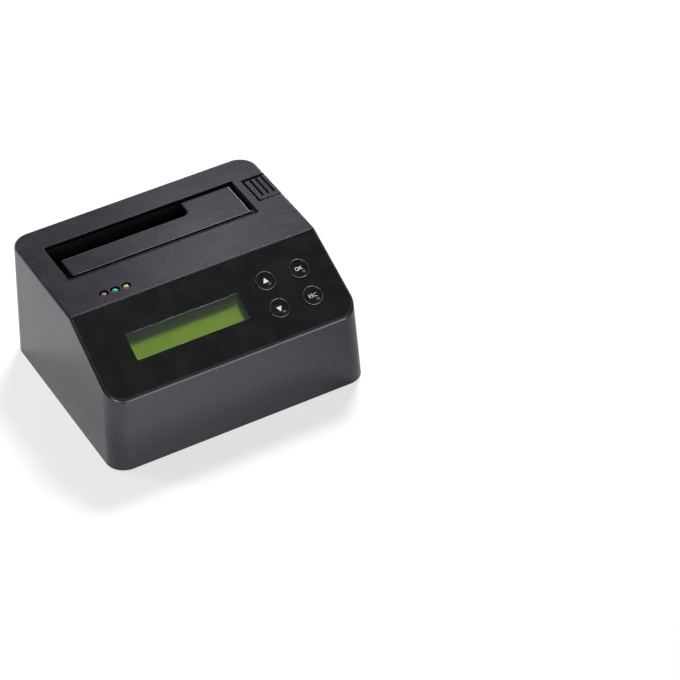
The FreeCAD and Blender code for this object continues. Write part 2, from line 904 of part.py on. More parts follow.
def flap_spring():
    """Wound round the pin in the left-hand gap, with one leg on the well and one under the flap."""
    radius = hinge_pin_diameter / 2 + moving_gap / 2 + flap_spring_wire / 2
    pitch = flap_spring_wire + seat_gap
    start = V(slot_left + moving_gap + flap_spring_wire, hinge_y, hinge_z)
    winding = coil(start, FreeCAD.Rotation(BACK, 90), radius, flap_spring_wire, pitch, flap_spring_turns)
    first = start - UP * radius
    last = first + RIGHT * pitch * flap_spring_turns
    on_well = V(first.x, slot_front + seat_gap, first.z)
    under_flap = V(last.x, last.y + flap_spring_leg, flap_under - seat_gap - flap_spring_wire / 2)
    hook = under_flap + RIGHT * flap_spring_hook
    legs = [rod_between(flap_spring_wire, first, on_well), rod_between(flap_spring_wire, last, under_flap)]
    knee = Part.makeSphere(flap_spring_wire / 2, under_flap)
    return union([winding, knee, rod_between(flap_spring_wire, under_flap, hook)] + legs)


# Eject mechanism
def eject_cap():
    """The button's flush cap, hollow underneath, with a skirt that runs down behind the wall."""
    cap = outer_form().common(eject_space(eject_gap, 0))
    cap = cap.cut(beyond(V(0, 0, eject_top), UP))
    skirt_inside = skirt_inset + eject_skirt
    skirt = body_form(skirt_inset, 0, eject_drop + eject_shell / 2, 0)
    skirt = skirt.common(eject_space(eject_gap, 2 * eject_travel))
    hollow = body_form(skirt_inside, 0, eject_drop + eject_shell, 0)
    front = eject_front + eject_gap + eject_shell
    rear = eject_front + eject_length - eject_gap - eject_shell
    inner = hollow.common(box(hollow_left, base_width, front, rear, 0, body_height))
    below_lip = hollow.common(box(0, base_width, 0, base_depth, 0, body_height - eject_lip))
    return cap.fuse(skirt).removeSplitter().cut([inner, below_lip])


def eject_grooves():
    middle = (eject_left + eject_gap + top_width / 2) / 2 + groove_shift
    grooves = []
    for i in range(groove_count):
        x = middle + groove_pitch * (i - (groove_count - 1) / 2)
        grooves.append(centred_box(x, leg_y, groove_width, groove_length, eject_top - groove_depth, far))
    return grooves


def eject_button():
    tip = V(leg_x, leg_y, leg_low + leg_diameter / 2)
    leg = rod(leg_diameter, tip, UP, eject_top - eject_shell / 2 - tip.z)
    end = Part.makeSphere(leg_diameter / 2, tip)
    return union([eject_cap(), leg, end]).cut(eject_grooves())


def eject_spring():
    """Round the button's leg, between the upper shelf and the cap."""
    radius = leg_diameter / 2 + moving_gap / 2 + eject_spring_wire / 2
    height = eject_top - eject_shell - shelf_top - eject_spring_wire - 2 * seat_gap
    start = V(leg_x, leg_y, shelf_top + seat_gap + eject_spring_wire / 2)
    pitch = height / eject_spring_turns
    return coil(start, FreeCAD.Rotation(), radius, eject_spring_wire, pitch, eject_spring_turns)


def eject_lever():
    half = lever_arm / 2
    front, rear = finger_span()
    left = finger_x - finger_width / 2
    right = leg_x + leg_diameter / 2
    top = drive_seat - finger_below_seat
    arm = box(left, right, front, front + lever_thickness, pivot_z - half, pivot_z + half)
    tip = rod(lever_arm, V(right, front, pivot_z), BACK, lever_thickness)
    hub = rod(2 * lever_hub, V(pivot_x, front, pivot_z), BACK, lever_thickness)
    finger = prism([
        V(left, front, pivot_z - half),
        V(left + finger_width, front, pivot_z - half),
        V(left + finger_width, front, top - finger_width / 2),
        V(left + finger_width / 2, front, top),
        V(left, front, top),
    ], BACK * (rear - front))
    bore = rod(pivot_pin_diameter + 2 * run_fit, V(pivot_x, 0, pivot_z), BACK, base_depth)
    return union([arm, tip, hub, finger]).cut(bore)


def eject_pivot_pin():
    reach = lever_thickness / 2 + moving_gap + ear_thickness
    return rod(pivot_pin_diameter, V(pivot_x, leg_y - reach, pivot_z), BACK, 2 * reach)


# Main board
def main_board():
    rear = rear_wall(board_top) - board_rear_gap
    board = box(-board_right, board_right, board_front, rear, board_under, board_top)
    holes = [rod(screw_diameter + 2 * screw_fit, p, UP, far) for p in board_screw_places()]
    return board.cut(holes)


def small_screw(place, head_low, shank_low):
    head = rod(screw_head, place + UP * head_low, UP, screw_head_height)
    return union([head, rod(screw_diameter, place + UP * shank_low, UP, screw_length)])


def board_screws():
    """The small screws of all the boards, each with its head on the board's free side."""
    led_under = led_base - led_board_thickness
    screws = [small_screw(p, board_top, board_top - screw_length) for p in board_screw_places()]
    screws += [small_screw(p, led_under - screw_head_height, led_under) for p in led_screw_places()]
    for place in panel_screw_places():
        screws.append(on_panel(small_screw(place, panel_board_under - screw_head_height, panel_board_under)))
    return group(screws)


def controller_chips():
    y = board_front + chip_from_front
    chips = []
    for i, size in enumerate(chip_sizes):
        x = chip_pitch * (i - (len(chip_sizes) - 1) / 2) + window_x
        chips.append(centred_box(x, y, size, size, board_top, board_top + chip_height))
    return group(chips)


def capacitors():
    x = board_right - board_screw_inset - capacitor_diameter
    first = board_front + chip_from_front / 2
    cans = []
    for i in range(capacitor_count):
        can = rod(capacitor_diameter, V(x, first + i * capacitor_pitch, board_top), UP, capacitor_height)
        top = [e for e in can.Edges if e.BoundBox.ZMin > board_top + capacitor_height / 2]
        cans.append(can.makeChamfer(capacitor_edge, top))
    return group(cans)


# Drive connector
def sata_slots():
    """Where the power and data slots start, how long each is and how many contacts it has."""
    left = sata_x - (power_slot_length + slot_bridge + data_slot_length) / 2
    data_left = left + power_slot_length + slot_bridge
    return [(left, power_slot_length, power_contacts), (data_left, data_slot_length, data_contacts)]


def sata_connector():
    neck = centred_box(sata_x, sata_y, sata_length, sata_thickness, board_top, sata_top)
    foot_width = sata_length + 2 * sata_foot_rim
    foot_depth = sata_thickness + 2 * sata_foot_rim
    foot = centred_box(sata_x, sata_y, foot_width, foot_depth, board_top, floor_under - part_fit)
    rear = sata_slot_front + sata_slot_width
    cuts = []
    for left, length, contacts in sata_slots():
        key_rear = rear + sata_key_depth
        cuts.append(box(left, left + length, sata_slot_front, rear, sata_slot_low, far))
        cuts.append(box(left, left + sata_slot_width, sata_slot_front, key_rear, sata_slot_low, far))
    return union([neck, foot]).cut(cuts)


def sata_contacts():
    strips = []
    for left, length, contacts in sata_slots():
        first = left + (length - contact_pitch * (contacts - 1)) / 2
        y = sata_slot_front + contact_thickness / 2
        top = sata_slot_low + contact_length
        for i in range(contacts):
            x = first + i * contact_pitch
            strips.append(centred_box(x, y, contact_width, contact_thickness, sata_slot_low, top))
    return group(strips)


# Rear sockets
def socket_block(x, width, height, depth, inset):
    """A socket's block on the board, its face level with the wall, drawn in by an inset."""
    face = rear_wall(board_top + height)
    half = width / 2 - inset
    return box(x - half, x + half, face - depth, face - inset, board_top, board_top + height - inset)


def usb_mouth(depth):
    half = usb_mouth_width / 2
    low = board_top + (usb_height - usb_mouth_height) / 2
    high = low + usb_mouth_height
    start = rear_wall(board_top + usb_height) - depth
    return prism([
        V(usb_x - half, start, low),
        V(usb_x + half, start, low),
        V(usb_x + half, start, high - usb_chamfer),
        V(usb_x + half - usb_chamfer, start, high),
        V(usb_x - half + usb_chamfer, start, high),
        V(usb_x - half, start, high - usb_chamfer),
    ], BACK * depth)


def usb_shell():
    shell = socket_block(usb_x, usb_width, usb_height, usb_depth, 0)
    return shell.cut([socket_block(usb_x, usb_width, usb_height, usb_depth, usb_sheet), usb_mouth(usb_depth)])


def usb_insert():
    block = socket_block(usb_x, usb_width, usb_height, usb_depth, usb_sheet + seat_gap)
    block = block.cut(usb_mouth(usb_mouth_depth))
    face = rear_wall(board_top + usb_height)
    middle = board_top + usb_height / 2
    half_x = usb_tongue_width / 2
    half_z = usb_tongue_height / 2
    tongue = box(usb_x - half_x, usb_x + half_x, face - usb_depth + usb_sheet, face - 2 * usb_sheet,
                 middle - half_z, middle + half_z)
    return union([block, tongue])


def jack_bottom():
    """The middle of the bore's closed end."""
    face = rear_wall(board_top + jack_height)
    return V(jack_x, face - jack_bore_depth, board_top + jack_height / 2)


def dc_jack():
    block = socket_block(jack_x, jack_width, jack_height, jack_depth, 0)
    return block.cut(rod(jack_bore, jack_bottom(), BACK, 2 * jack_bore_depth))


def dc_pin():
    pin = rod(jack_pin, jack_bottom(), BACK, jack_pin_length)
    tip = [e for e in pin.Edges if e.BoundBox.YMin > jack_bottom().y + jack_pin_length / 2]
    return pin.makeChamfer(jack_pin_edge, tip)


# Power switch
def rocker_face():
    """How far the rocker's ends stand from its pivot, with the raised end level with the wall."""
    return (rocker_pivot_depth - rocker_length / 2 * math.sin(rocker_tilt)) / math.cos(rocker_tilt)


def rocker_span():
    """The width that the rocker sweeps, with its running gaps."""
    reach = rocker_length / 2 * math.cos(rocker_tilt) + rocker_face() * math.sin(rocker_tilt)
    return 2 * (reach + moving_gap)


def rocker_pivot():
    return V(rocker_x, rear_wall(rocker_z + rocker_width / 2) - rocker_pivot_depth, rocker_z)


def power_rocker():
    pivot = rocker_pivot()
    half = rocker_length / 2
    face = rocker_face()
    low = pivot - UP * (rocker_width / 2)
    body = prism([
        low + V(-half, face, 0),
        low + V(rocker_root - half, -rocker_root, 0),
        low + V(half - rocker_root, -rocker_root, 0),
        low + V(half, face, 0),
        low + V(0, face - rocker_dip, 0),
    ], UP * rocker_width)
    reach = rocker_width / 2 + moving_gap + frame_wall - seat_gap
    rocker = union([body, rod(rocker_trunnion, pivot - UP * reach, UP, 2 * reach)])
    rocker.rotate(pivot, UP, -math.degrees(rocker_tilt))
    return rocker


def switch_frame():
    half_z = rocker_width / 2 + moving_gap
    face = rear_wall(rocker_z + half_z + frame_wall) - wall / math.cos(end_draft) - seat_gap
    width = rocker_span()
    middle = face - frame_depth / 2
    block = centred_box(rocker_x, middle, width + 2 * frame_wall, frame_depth,
                        rocker_z - half_z - frame_wall, rocker_z + half_z + frame_wall)
    hollow = centred_box(rocker_x, middle + frame_wall, width, frame_depth,
                         rocker_z - half_z, rocker_z + half_z)
    bore = rod(rocker_trunnion + 2 * run_fit, rocker_pivot() - UP * far, UP, 2 * far)
    return block.cut([hollow, bore])


# Flat cable
ribbon_low = V(window_x, board_front + ribbon_socket_depth, board_top)
ribbon_high = V(window_x, control_row - ribbon_from_row, panel_board_under)


def ribbon_socket(place, low, high):
    return centred_box(place.x, place.y, ribbon_width + 2 * ribbon_socket_rim, ribbon_socket_depth, low, high)


def ribbon_sockets():
    lower = ribbon_socket(ribbon_low, board_top, board_top + ribbon_socket_height)
    upper = ribbon_socket(ribbon_high, panel_board_under - ribbon_socket_height, panel_board_under)
    return group([lower, on_panel(upper)])


def display_ribbon():
    start = ribbon_low + UP * ribbon_socket_height
    end = panel_frame.multVec(ribbon_high - UP * ribbon_socket_height)
    rise = start + UP * ribbon_straight
    approach = end - panel_normal * ribbon_straight
    path = bent_path([start, rise, approach, end], ribbon_bend)
    half_x = RIGHT * (ribbon_width / 2)
    half_y = BACK * (ribbon_thickness / 2)
    near = start - half_y
    away = start + half_y
    corners = [near - half_x, near + half_x, away + half_x, away - half_x]
    return path.makePipeShell([Part.makePolygon(corners + corners[:1])], True, False)


makers = [
    upper_housing, base_plate, base_screws, rubber_feet, front_panel, lcd_window, lcd_bezel, lcd_glass,
    lcd_backlight, lcd_board, tact_switches, key_board, led_leads, led_board, drive_well, well_screws,
    drive_flap, flap_pin, flap_spring, eject_button, eject_spring, eject_lever, eject_pivot_pin, main_board,
    board_screws, controller_chips, capacitors, sata_connector, sata_contacts, usb_shell, usb_insert, dc_jack,
    dc_pin, power_rocker, switch_frame, ribbon_sockets, display_ribbon,
]
pieces = {make.__name__: make() for make in makers}
for key_name in key_places:
    pieces["key_" + key_name] = key_cap(key_name)
    pieces["plunger_" + key_name] = plunger(key_name)
for colour, lamp_place in zip(("red", "green", "yellow"), led_places()):
    pieces["led_" + colour] = led(lamp_place)

os.makedirs("parts", exist_ok=True)
for node, shape in pieces.items():
    shape.exportStep("parts/" + node + ".step")
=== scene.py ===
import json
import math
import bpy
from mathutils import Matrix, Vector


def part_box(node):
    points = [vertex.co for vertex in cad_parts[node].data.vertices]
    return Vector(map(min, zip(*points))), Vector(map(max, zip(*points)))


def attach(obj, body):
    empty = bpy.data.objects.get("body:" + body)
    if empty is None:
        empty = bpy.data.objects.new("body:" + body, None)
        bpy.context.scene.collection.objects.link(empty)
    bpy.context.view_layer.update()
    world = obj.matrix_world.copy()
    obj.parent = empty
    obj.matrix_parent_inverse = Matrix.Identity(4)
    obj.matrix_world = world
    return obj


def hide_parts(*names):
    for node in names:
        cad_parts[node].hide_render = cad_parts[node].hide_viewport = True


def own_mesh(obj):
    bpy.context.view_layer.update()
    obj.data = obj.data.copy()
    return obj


bl_info = {
    "name": "Hard Drive Eraser Dock",
    "version": (1, 0, 0),
    "blender": (4, 5, 0),
    "location": "View3D > Sidebar > Dock",
    "description": "Models the visible pieces of a hard drive eraser dock around its CAD frame",
    "category": "Object",
}

from contextlib import contextmanager

import bmesh
import bpy
from bpy.props import FloatProperty, FloatVectorProperty, PointerProperty
from bpy.types import Operator, Panel, PropertyGroup
from mathutils import Matrix, Vector

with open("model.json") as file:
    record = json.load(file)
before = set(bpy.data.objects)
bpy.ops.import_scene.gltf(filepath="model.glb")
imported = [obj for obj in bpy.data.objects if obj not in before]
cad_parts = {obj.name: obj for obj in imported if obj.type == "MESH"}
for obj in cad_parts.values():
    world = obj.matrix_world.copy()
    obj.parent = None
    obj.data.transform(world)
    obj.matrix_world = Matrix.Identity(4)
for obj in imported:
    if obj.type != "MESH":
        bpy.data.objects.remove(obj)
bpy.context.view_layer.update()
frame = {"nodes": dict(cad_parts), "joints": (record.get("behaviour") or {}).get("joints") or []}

MM = 0.001
X, Y, Z = range(3)
RIGHT = Vector((1, 0, 0))
BACK = Vector((0, 1, 0))
UP = Vector((0, 0, 1))
QUARTER_TURN = math.pi / 2
# Points this near to each other count as one
NEAR = 1e-6
# Faces whose normals agree this well count as lying in one plane
IN_PLANE = 0.9999
# How far a cutter reaches past what it cuts, where nothing else is near
CLEAR = 20 * MM


def middle_of(node):
    low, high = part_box(node)
    return (low + high) / 2


# Places read from the frame
shell_low, shell_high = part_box("upper_housing")
flap_low, flap_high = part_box("drive_flap")
pin_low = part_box("flap_pin")[0]
hinge = middle_of("flap_pin")
joints = {joint["name"]: joint for joint in frame["joints"]}
slope_out = -Vector(joints["ok_key_press"]["axis"]).normalized()
slope_angle = math.atan2(-slope_out.y, slope_out.z)
eject_travel = joints["eject_press"]["range_m"][1]
key_names = ("up", "ok", "down", "esc")
lamp_names = ("red", "green", "yellow")


def length(name, text, millimetres):
    return FloatProperty(name=name, description=text, default=millimetres * MM, unit="LENGTH",
                         subtype="DISTANCE", precision=5)


def turn_angle(name, text, degrees):
    return FloatProperty(name=name, description=text, default=math.radians(degrees), subtype="ANGLE")


def colour(name, text, red, green, blue):
    return FloatVectorProperty(name=name, description=text, default=(red, green, blue), subtype="COLOR",
                               min=0, max=1)


def level(name, text, value):
    return FloatProperty(name=name, description=text, default=value, min=0)


def power(name, text, watts):
    return FloatProperty(name=name, description=text, default=watts, min=0, unit="POWER")


class DockSizes(PropertyGroup):
    """Sizes of the dock's visible pieces."""
    front_height: length("Front height", "Height where the sloped face meets the front", 44.2)
    side_draft: turn_angle("Side draft", "Lean of the left and right sides", 2.6)
    end_draft: turn_angle("End draft", "Lean of the front and the rear", 1.4)
    corner_radius: length("Corner radius", "Round of the upright corners", 10.5)
    edge_round: length("Edge round", "Round of the rim", 1.2)
    crease_round: length("Crease round", "Round between the top and the sloped face", 0.25)
    wall: length("Wall", "Thickness of the housing", 2.2)
    lip: length("Lip", "Round on the edges of openings", 0.28)
    part_fit: length("Fit", "Gap between parts that are pushed together", 0.15)
    seat_gap: length("Seat gap", "Gap between parts that rest on each other", 0.05)
    moving_gap: length("Moving gap", "Room left around what moves inside", 0.4)
    panel_rim: length("Panel rim", "Width of housing left around the front panel", 1.7)
    crease_rim: length("Crease rim", "Width of housing left above the front panel", 0.7)
    panel_sink: length("Panel sink", "Depth of the panel's face below the slope", 0.3)
    panel_thickness: length("Panel thickness", "Thickness of the front panel", 1.5)
    panel_skin: length("Panel skin", "Housing left behind the front panel", 1.8)
    panel_round: length("Panel round", "Round of the front panel's edge", 0.3)
    panel_lip: length("Panel lip", "Round on the edges of the panel's openings", 0.2)
    rebate_round: length("Rebate round", "Round of the rim around the front panel", 0.18)
    slot_width: length("Slot width", "Width of the drive slot", 108.55)
    slot_depth: length("Slot depth", "Depth of the drive slot, front to rear", 30.95)
    slot_corner: length("Slot corner", "Round of the drive slot's corners", 0.8)
    well_wall: length("Well wall", "Thickness of the well's walls", 1.8)
    window_x: length("Window place", "Middle of the display, across the dock", -15.55)
    window_width: length("Window width", "Width of the display's window", 63.7)
    window_height: length("Window height", "Height of the display's window, up the slope", 15.3)
    window_corner: length("Window corner", "Round of the window's corners", 0.8)
    window_ledge: length("Window ledge", "How far the housing stands back from the window", 0.8)
    glass_width: length("Display width", "Width of the display's glass", 69.9)
    glass_height: length("Display height", "Height of the display's glass, up the slope", 23.9)
    glass_thickness: length("Display thickness", "Thickness of the display's glass", 2.2)
    glass_sink: length("Display depth", "Depth of the display's face below the slope", 4.2)
    key_diameter: length("Key diameter", "Diameter of the round keys", 10.5)
    key_gap: length("Key gap", "Gap around each key", 0.25)
    key_proud: length("Key height", "How far a key stands out of the panel", 0.4)
    key_dish: length("Key dish", "Fall of a key's top from its edge to its middle", 0.5)
    key_rim: length("Key rim", "Width of the satin rim round a key", 0.24)
    key_step: length("Key step", "Fall from that rim to the edge of a key's top", 0.1)
    key_flange: length("Key flange", "Thickness of the flange that holds a key in", 0.9)
    key_flange_rim: length("Key flange rim", "How far that flange stands out round a key", 1.5)
    key_stem: length("Key stem", "Diameter of the stem under a key", 3.4)
    key_stem_length: length("Key stem length", "Length of the stem under a key", 1.4)
    arrow_size: length("Arrow size", "Distance of an arrow's corners from its middle", 1.85)
    ok_size: length("OK size", "Size of the letters on the OK key", 3.0)
    esc_size: length("ESC size", "Size of the letters on the ESC key", 2.85)
    lamp_hole: length("Lamp hole", "Diameter of the holes over the lamps", 5.2)
    lamp_sink_width: length("Lamp sink width", "Width of the slope round a lamp's hole", 0.38)
    lamp_sink_depth: length("Lamp sink depth", "Depth of that slope", 0.08)
    lamp_diameter: length("Lamp diameter", "Diameter of the lamps", 3.3)
    lamp_foot: length("Lamp foot", "Diameter of a lamp's foot", 3.8)
    lamp_foot_height: length("Lamp foot height", "Height of a lamp's foot", 1.0)
    lamp_dome: length("Lamp dome", "Where a lamp's dome starts, below the solid's top", 0.85)
    barrel_gap: length("Barrel gap", "Gap between the slot's front and the flap's barrel", 1.8)
    barrel_diameter: length("Barrel diameter", "Diameter of the flap's barrel", 1.7)
    barrel_bore: length("Barrel bore", "Diameter of the hole for the flap's pin", 1.16)
    barrel_overhang: length("Barrel overhang", "How far the barrel stands out of the flap's right", 2.0)
    flap_setback: length("Flap setback", "How far the flap's front lies behind its barrel's", 2.45)
    flap_notch_width: length("Flap notch width", "Width of the flap's cut-out, from the slot's left", 77.85)
    flap_notch_corner: length("Flap notch corner", "Round of the cut-out's inner corner", 4.0)
    flap_strip: length("Flap strip", "Width of the flap in front of its cut-out", 14.3)
    flap_thickness: length("Flap thickness", "Thickness of the flap", 2.2)
    flap_bevel: length("Flap bevel", "Width of the slope round the flap's top", 0.65)
    flap_fall: length("Flap fall", "Fall of that slope", 0.16)
    flap_web: length("Flap web", "Thickness of the web between the flap and its barrel", 1.4)
    flap_rib: length("Flap rib", "Thickness of the flap's ribs", 1.4)
    flap_rib_depth: length("Flap rib depth", "How far the ribs stand out under the flap", 1.3)
    flap_rib_inset: length("Flap rib inset", "Distance of the outer ribs from the flap's ends", 4.0)
    flap_wire: length("Flap wire", "Diameter of the flap spring's wire", 0.45)
    eject_wire: length("Eject wire", "Diameter of the eject spring's wire", 0.6)
    eject_from_slot: length("Eject place", "Distance of the eject button from the slot", 4.2)
    eject_from_front: length("Eject front", "Distance of the eject button behind the slot's front", 8.0)
    eject_depth: length("Eject depth", "Room for the eject button, front to rear", 20.45)
    eject_gap: length("Eject gap", "Gap around the eject button", 1.35)
    eject_lip: length("Eject lip", "How far the eject button runs down the side", 9.0)
    eject_wall: length("Eject wall", "Thickness of the eject button's walls", 1.8)
    eject_skirt: length("Eject skirt", "Thickness of the skirt inside the side wall", 1.2)
    eject_leg: length("Eject leg", "Diameter of the leg under the eject button", 4.0)
    groove_pitch: length("Groove pitch", "Distance between the eject button's grooves", 3.3)
    groove_length: length("Groove length", "Length of the eject button's grooves", 15.0)
    groove_width: length("Groove width", "Width of the eject button's grooves", 1.5)
    groove_depth: length("Groove depth", "Depth of the grooves at their steep side", 1.4)
    groove_start: length("Groove start", "Depth of the grooves at their shallow side", 0.05)
    foot_diameter: length("Foot diameter", "Diameter of the rubber feet", 12.0)
    usb_mouth_width: length("Socket mouth width", "Width of the square socket's mouth", 8.5)
    usb_mouth_height: length("Socket mouth height", "Height of the square socket's mouth", 7.8)
    usb_chamfer: length("Socket chamfer", "Cut at the mouth's upper corners", 1.6)
    usb_sheet: length("Socket sheet", "Thickness of the square socket's sheet metal", 0.5)
    jack_bore: length("Jack bore", "Diameter of the power jack's bore", 6.4)
    jack_depth: length("Jack depth", "Depth of the power jack's bore", 9.5)
    jack_chamfer: length("Jack chamfer", "Cut round the mouth of that bore", 0.6)
    switch_rim: length("Switch rim", "Width of the rim of the switch's frame", 1.3)
    rocker_length: length("Rocker length", "Length of the rocker", 12.8)
    rocker_width: length("Rocker width", "Width of the rocker", 8.0)
    rocker_face: length("Rocker face", "How far the rocker's ends stand from its pivot", 4.655)
    rocker_dip: length("Rocker dip", "Depth of the valley in the rocker's face", 1.0)
    rocker_root: length("Rocker root", "How far the rocker goes in past its pivot", 2.2)


class DockColours(PropertyGroup):
    """Colours of the dock's finishes."""
    housing: colour("Housing", "Moulded charcoal plastic", 0.0160, 0.0137, 0.0186)
    flap: colour("Flap", "Moulded plastic of the flap", 0.0150, 0.0128, 0.0175)
    # Near-black, darker than the flap: painted shade for the gap in front of the flap
    barrel: colour("Barrel", "Moulded plastic of the flap's barrel", 0.003, 0.0028, 0.0034)
    panel: colour("Front panel", "Gloss black plastic", 0.0045, 0.0045, 0.005)
    display: colour("Display", "Unlit face of the display", 0.194, 0.312, 0.013)
    print_white: colour("Print", "Ink of the marks on the keys", 0.96, 0.96, 0.95)
    # Pale colour of the added key rim, partly a painted highlight along each key's edge
    key_rim: colour("Key rim", "Satin rim of the keys", 0.55, 0.55, 0.56)
    lamp_red: colour("Red lamp", "Lens of the red lamp", 0.235, 0.14, 0.125)
    lamp_green: colour("Green lamp", "Lens of the green lamp", 0.04, 0.48, 0.37)
    lamp_yellow: colour("Yellow lamp", "Lens of the yellow lamp", 0.46, 0.445, 0.155)


class DockView(PropertyGroup):
    """Camera and light of the stage."""
    place: FloatVectorProperty(name="Camera place", description="Where the camera stands", size=3,
                               default=(-0.49871, -1.1215, 1.0401), subtype="TRANSLATION", unit="LENGTH")
    turn: turn_angle("Turn", "Turn of the camera about the upright", -27.669)
    drop: turn_angle("Drop", "How far the camera looks down", 40.077)
    roll: turn_angle("Roll", "Roll of the camera about its own view", -2.416)
    lens: FloatProperty(name="Lens", description="Focal length in millimetres", default=162.68, min=1,
                        unit="CAMERA")
    room_light: level("Room light", "Level of the light from all round", 0.035)
    sky_light: level("Sky light", "Level of the soft patch overhead", 0.18)
    backdrop_light: level("Backdrop light", "Level of the pale backdrop, low behind", 1.1)
    key_light: power("Key light", "Power of the large lamp", 13.5)
    gloss_light: power("Gloss light", "Power of the lamp seen in the top", 1.0)
    corner_light: power("Corner light", "Power of the lamp seen in the near corner's rim", 2.6)
    edge_light: power("Edge light", "Power of the lamp seen in the flap's right edge", 1.4)
    rim_light: power("Rim light", "Power of the lamp seen in the front rim", 3.4)
    left_light: power("Left light", "Power of the lamp at the left", 4.5)
    sheen_light: power("Sheen light", "Power of the low lamp behind", 0.34)
    spark_light: power("Spark light", "Power of the small lamp overhead", 0.12)


# Modelling tools
def sizes():
    return bpy.context.scene.dock_sizes


def colours():
    return bpy.context.scene.dock_colours


def only(*pieces):
    """Select these pieces and nothing else."""
    bpy.ops.object.select_all(action="DESELECT")
    for piece in pieces:
        piece.select_set(True)
    bpy.context.view_layer.objects.active = pieces[0]


def settle(piece, matrix=None):
    """Put a piece's place into its mesh."""
    if matrix is not None:
        piece.matrix_world = matrix @ piece.matrix_world
    only(piece)
    bpy.ops.object.transform_apply(location=True, rotation=True, scale=True)
    return piece


def named(piece, name):
    piece.name = name
    piece.data.name = name
    return piece


def add(name, primitive, **values):
    """Add a primitive, with nothing else selected and its place in its mesh."""
    bpy.ops.object.select_all(action="DESELECT")
    primitive(**values)
    return settle(named(bpy.context.active_object, name))


def block(name, low, high):
    """A box between two corners."""
    low, high = Vector(low), Vector(high)
    return add(name, bpy.ops.mesh.primitive_cube_add, size=1, location=(low + high) / 2, scale=high - low)


def rod(name, diameter, low, high, vertices=48):
    """A round bar between two points."""
    low, high = Vector(low), Vector(high)
    spin = (high - low).to_track_quat("Z", "Y").to_euler()
    return add(name, bpy.ops.mesh.primitive_cylinder_add, vertices=vertices, radius=diameter / 2,
               depth=(high - low).length, location=(low + high) / 2, rotation=spin)


@contextmanager
def editing(piece, kind="VERT", test=None):
    """Edit mode, with the faces, edges or vertices selected that pass a test, or else all of them."""
    only(piece)
    bpy.ops.object.mode_set(mode="EDIT")
    bpy.ops.mesh.select_mode(type=kind)
    bpy.ops.mesh.select_all(action="DESELECT" if test else "SELECT")
    mesh = bmesh.from_edit_mesh(piece.data)
    if test:
        mesh.normal_update()
        for element in {"FACE": mesh.faces, "EDGE": mesh.edges, "VERT": mesh.verts}[kind]:
            if test(element):
                element.select_set(True)
        mesh.select_flush_mode()
        bmesh.update_edit_mesh(piece.data)
    yield mesh
    bpy.ops.object.mode_set(mode="OBJECT")


def faces_up(face):
    return face.normal.z > 0.9


def runs(axis, least):
    """A test for edges that run further than this along an axis."""
    return lambda edge: abs(edge.verts[0].co[axis] - edge.verts[1].co[axis]) > least


def lies_past(axis, limit):
    """A test for edges that lie at a limit along an axis, or past it."""
    return lambda edge: all(vert.co[axis] > limit - NEAR for vert in edge.verts)


def borders(test):
    """A test for edges where faces that pass another test meet faces that don't."""
    return lambda edge: sum(map(test, edge.link_faces)) == 1


def round_edges(piece, test, width, segments=3):
    """Bevel the edges that pass a test."""
    with editing(piece, "EDGE", test):
        bpy.ops.mesh.bevel(offset_type="OFFSET", offset=width, segments=segments, affect="EDGES", profile=0.5)
    return piece


def slice_off(piece, point, outward):
    """Cut away what lies beyond a plane and close the cut."""
    with editing(piece):
        bpy.ops.mesh.bisect(plane_co=point, plane_no=outward, use_fill=True, clear_outer=True, threshold=1e-7)
    return piece


def apply(piece, kind, **settings):
    """Add a modifier with these settings and apply it."""
    only(piece)
    change = piece.modifiers.new(kind.lower(), kind)
    for name, value in settings.items():
        setattr(change, name, value)
    bpy.ops.object.modifier_apply(modifier=change.name)
    return piece


def combine(piece, operation, others):
    """Boolean a piece with others, which are used up."""
    for other in others:
        apply(piece, "BOOLEAN", operation=operation, solver="EXACT", object=other)
        bpy.data.objects.remove(other)
    return piece


def cut(piece, *others):
    return combine(piece, "DIFFERENCE", others)


def meet(piece, *others):
    return combine(piece, "INTERSECT", others)


def unite(piece, *others):
    return combine(piece, "UNION", others)


def gather(piece, *others):
    """Join pieces into one."""
    only(piece, *others)
    bpy.ops.object.join()
    return piece


def copy_of(piece, name, matrix):
    """A copy with its own mesh, at another place."""
    twin = piece.copy()
    twin.data = piece.data.copy()
    named(twin, name)
    bpy.context.scene.collection.objects.link(twin)
    return settle(twin, matrix)


def four_copies(piece, name, low, high):
    """Copies of a piece at the four corners of a rectangle, made into one. The piece itself is used up."""
    corners = [Matrix.Translation((x, y, 0)) for x in (low.x, high.x) for y in (low.y, high.y)]
    copies = [copy_of(piece, name, corner) for corner in corners]
    bpy.data.objects.remove(piece)
    return gather(*copies)


def smooth(piece, degrees=25):
    """Smooth the rounded edges and keep the flats flat."""
    only(piece)
    bpy.ops.object.shade_smooth_by_angle(angle=math.radians(degrees))
    return apply(piece, "WEIGHTED_NORMAL", keep_sharp=True)


def flare(piece, lip, steps=3):
    """Open a cutter's top outwards in a quarter round, then carry it on upwards."""
    top = max(vert.co.z for vert in piece.data.vertices)
    carry_on = 20 * lip

    def is_mouth(face):
        return faces_up(face) and face.calc_center_median().z > top - NEAR

    with editing(piece, "FACE", is_mouth) as mesh:
        corners = [vert.co.copy() for vert in mesh.verts if vert.select]
        low, high = [Vector([end(c[axis] for c in corners) for axis in (X, Y, Z)]) for end in (min, max)]
        reached = Vector((0, 0))
        for step in range(1, steps + 2):
            angle = QUARTER_TURN * min(step / steps, 1)
            target = Vector((lip * (1 - math.cos(angle)), lip * math.sin(angle)))
            if step > steps:
                target.y += carry_on
            rise = target.y - reached.y
            bpy.ops.mesh.extrude_region_move(TRANSFORM_OT_translate={"value": (0, 0, rise)})
            grow = [(span + 2 * target.x) / (span + 2 * reached.x) for span in (high - low).xy]
            bpy.ops.transform.resize(value=(*grow, 1), center_override=(low + high) / 2)
            reached = target
    return piece


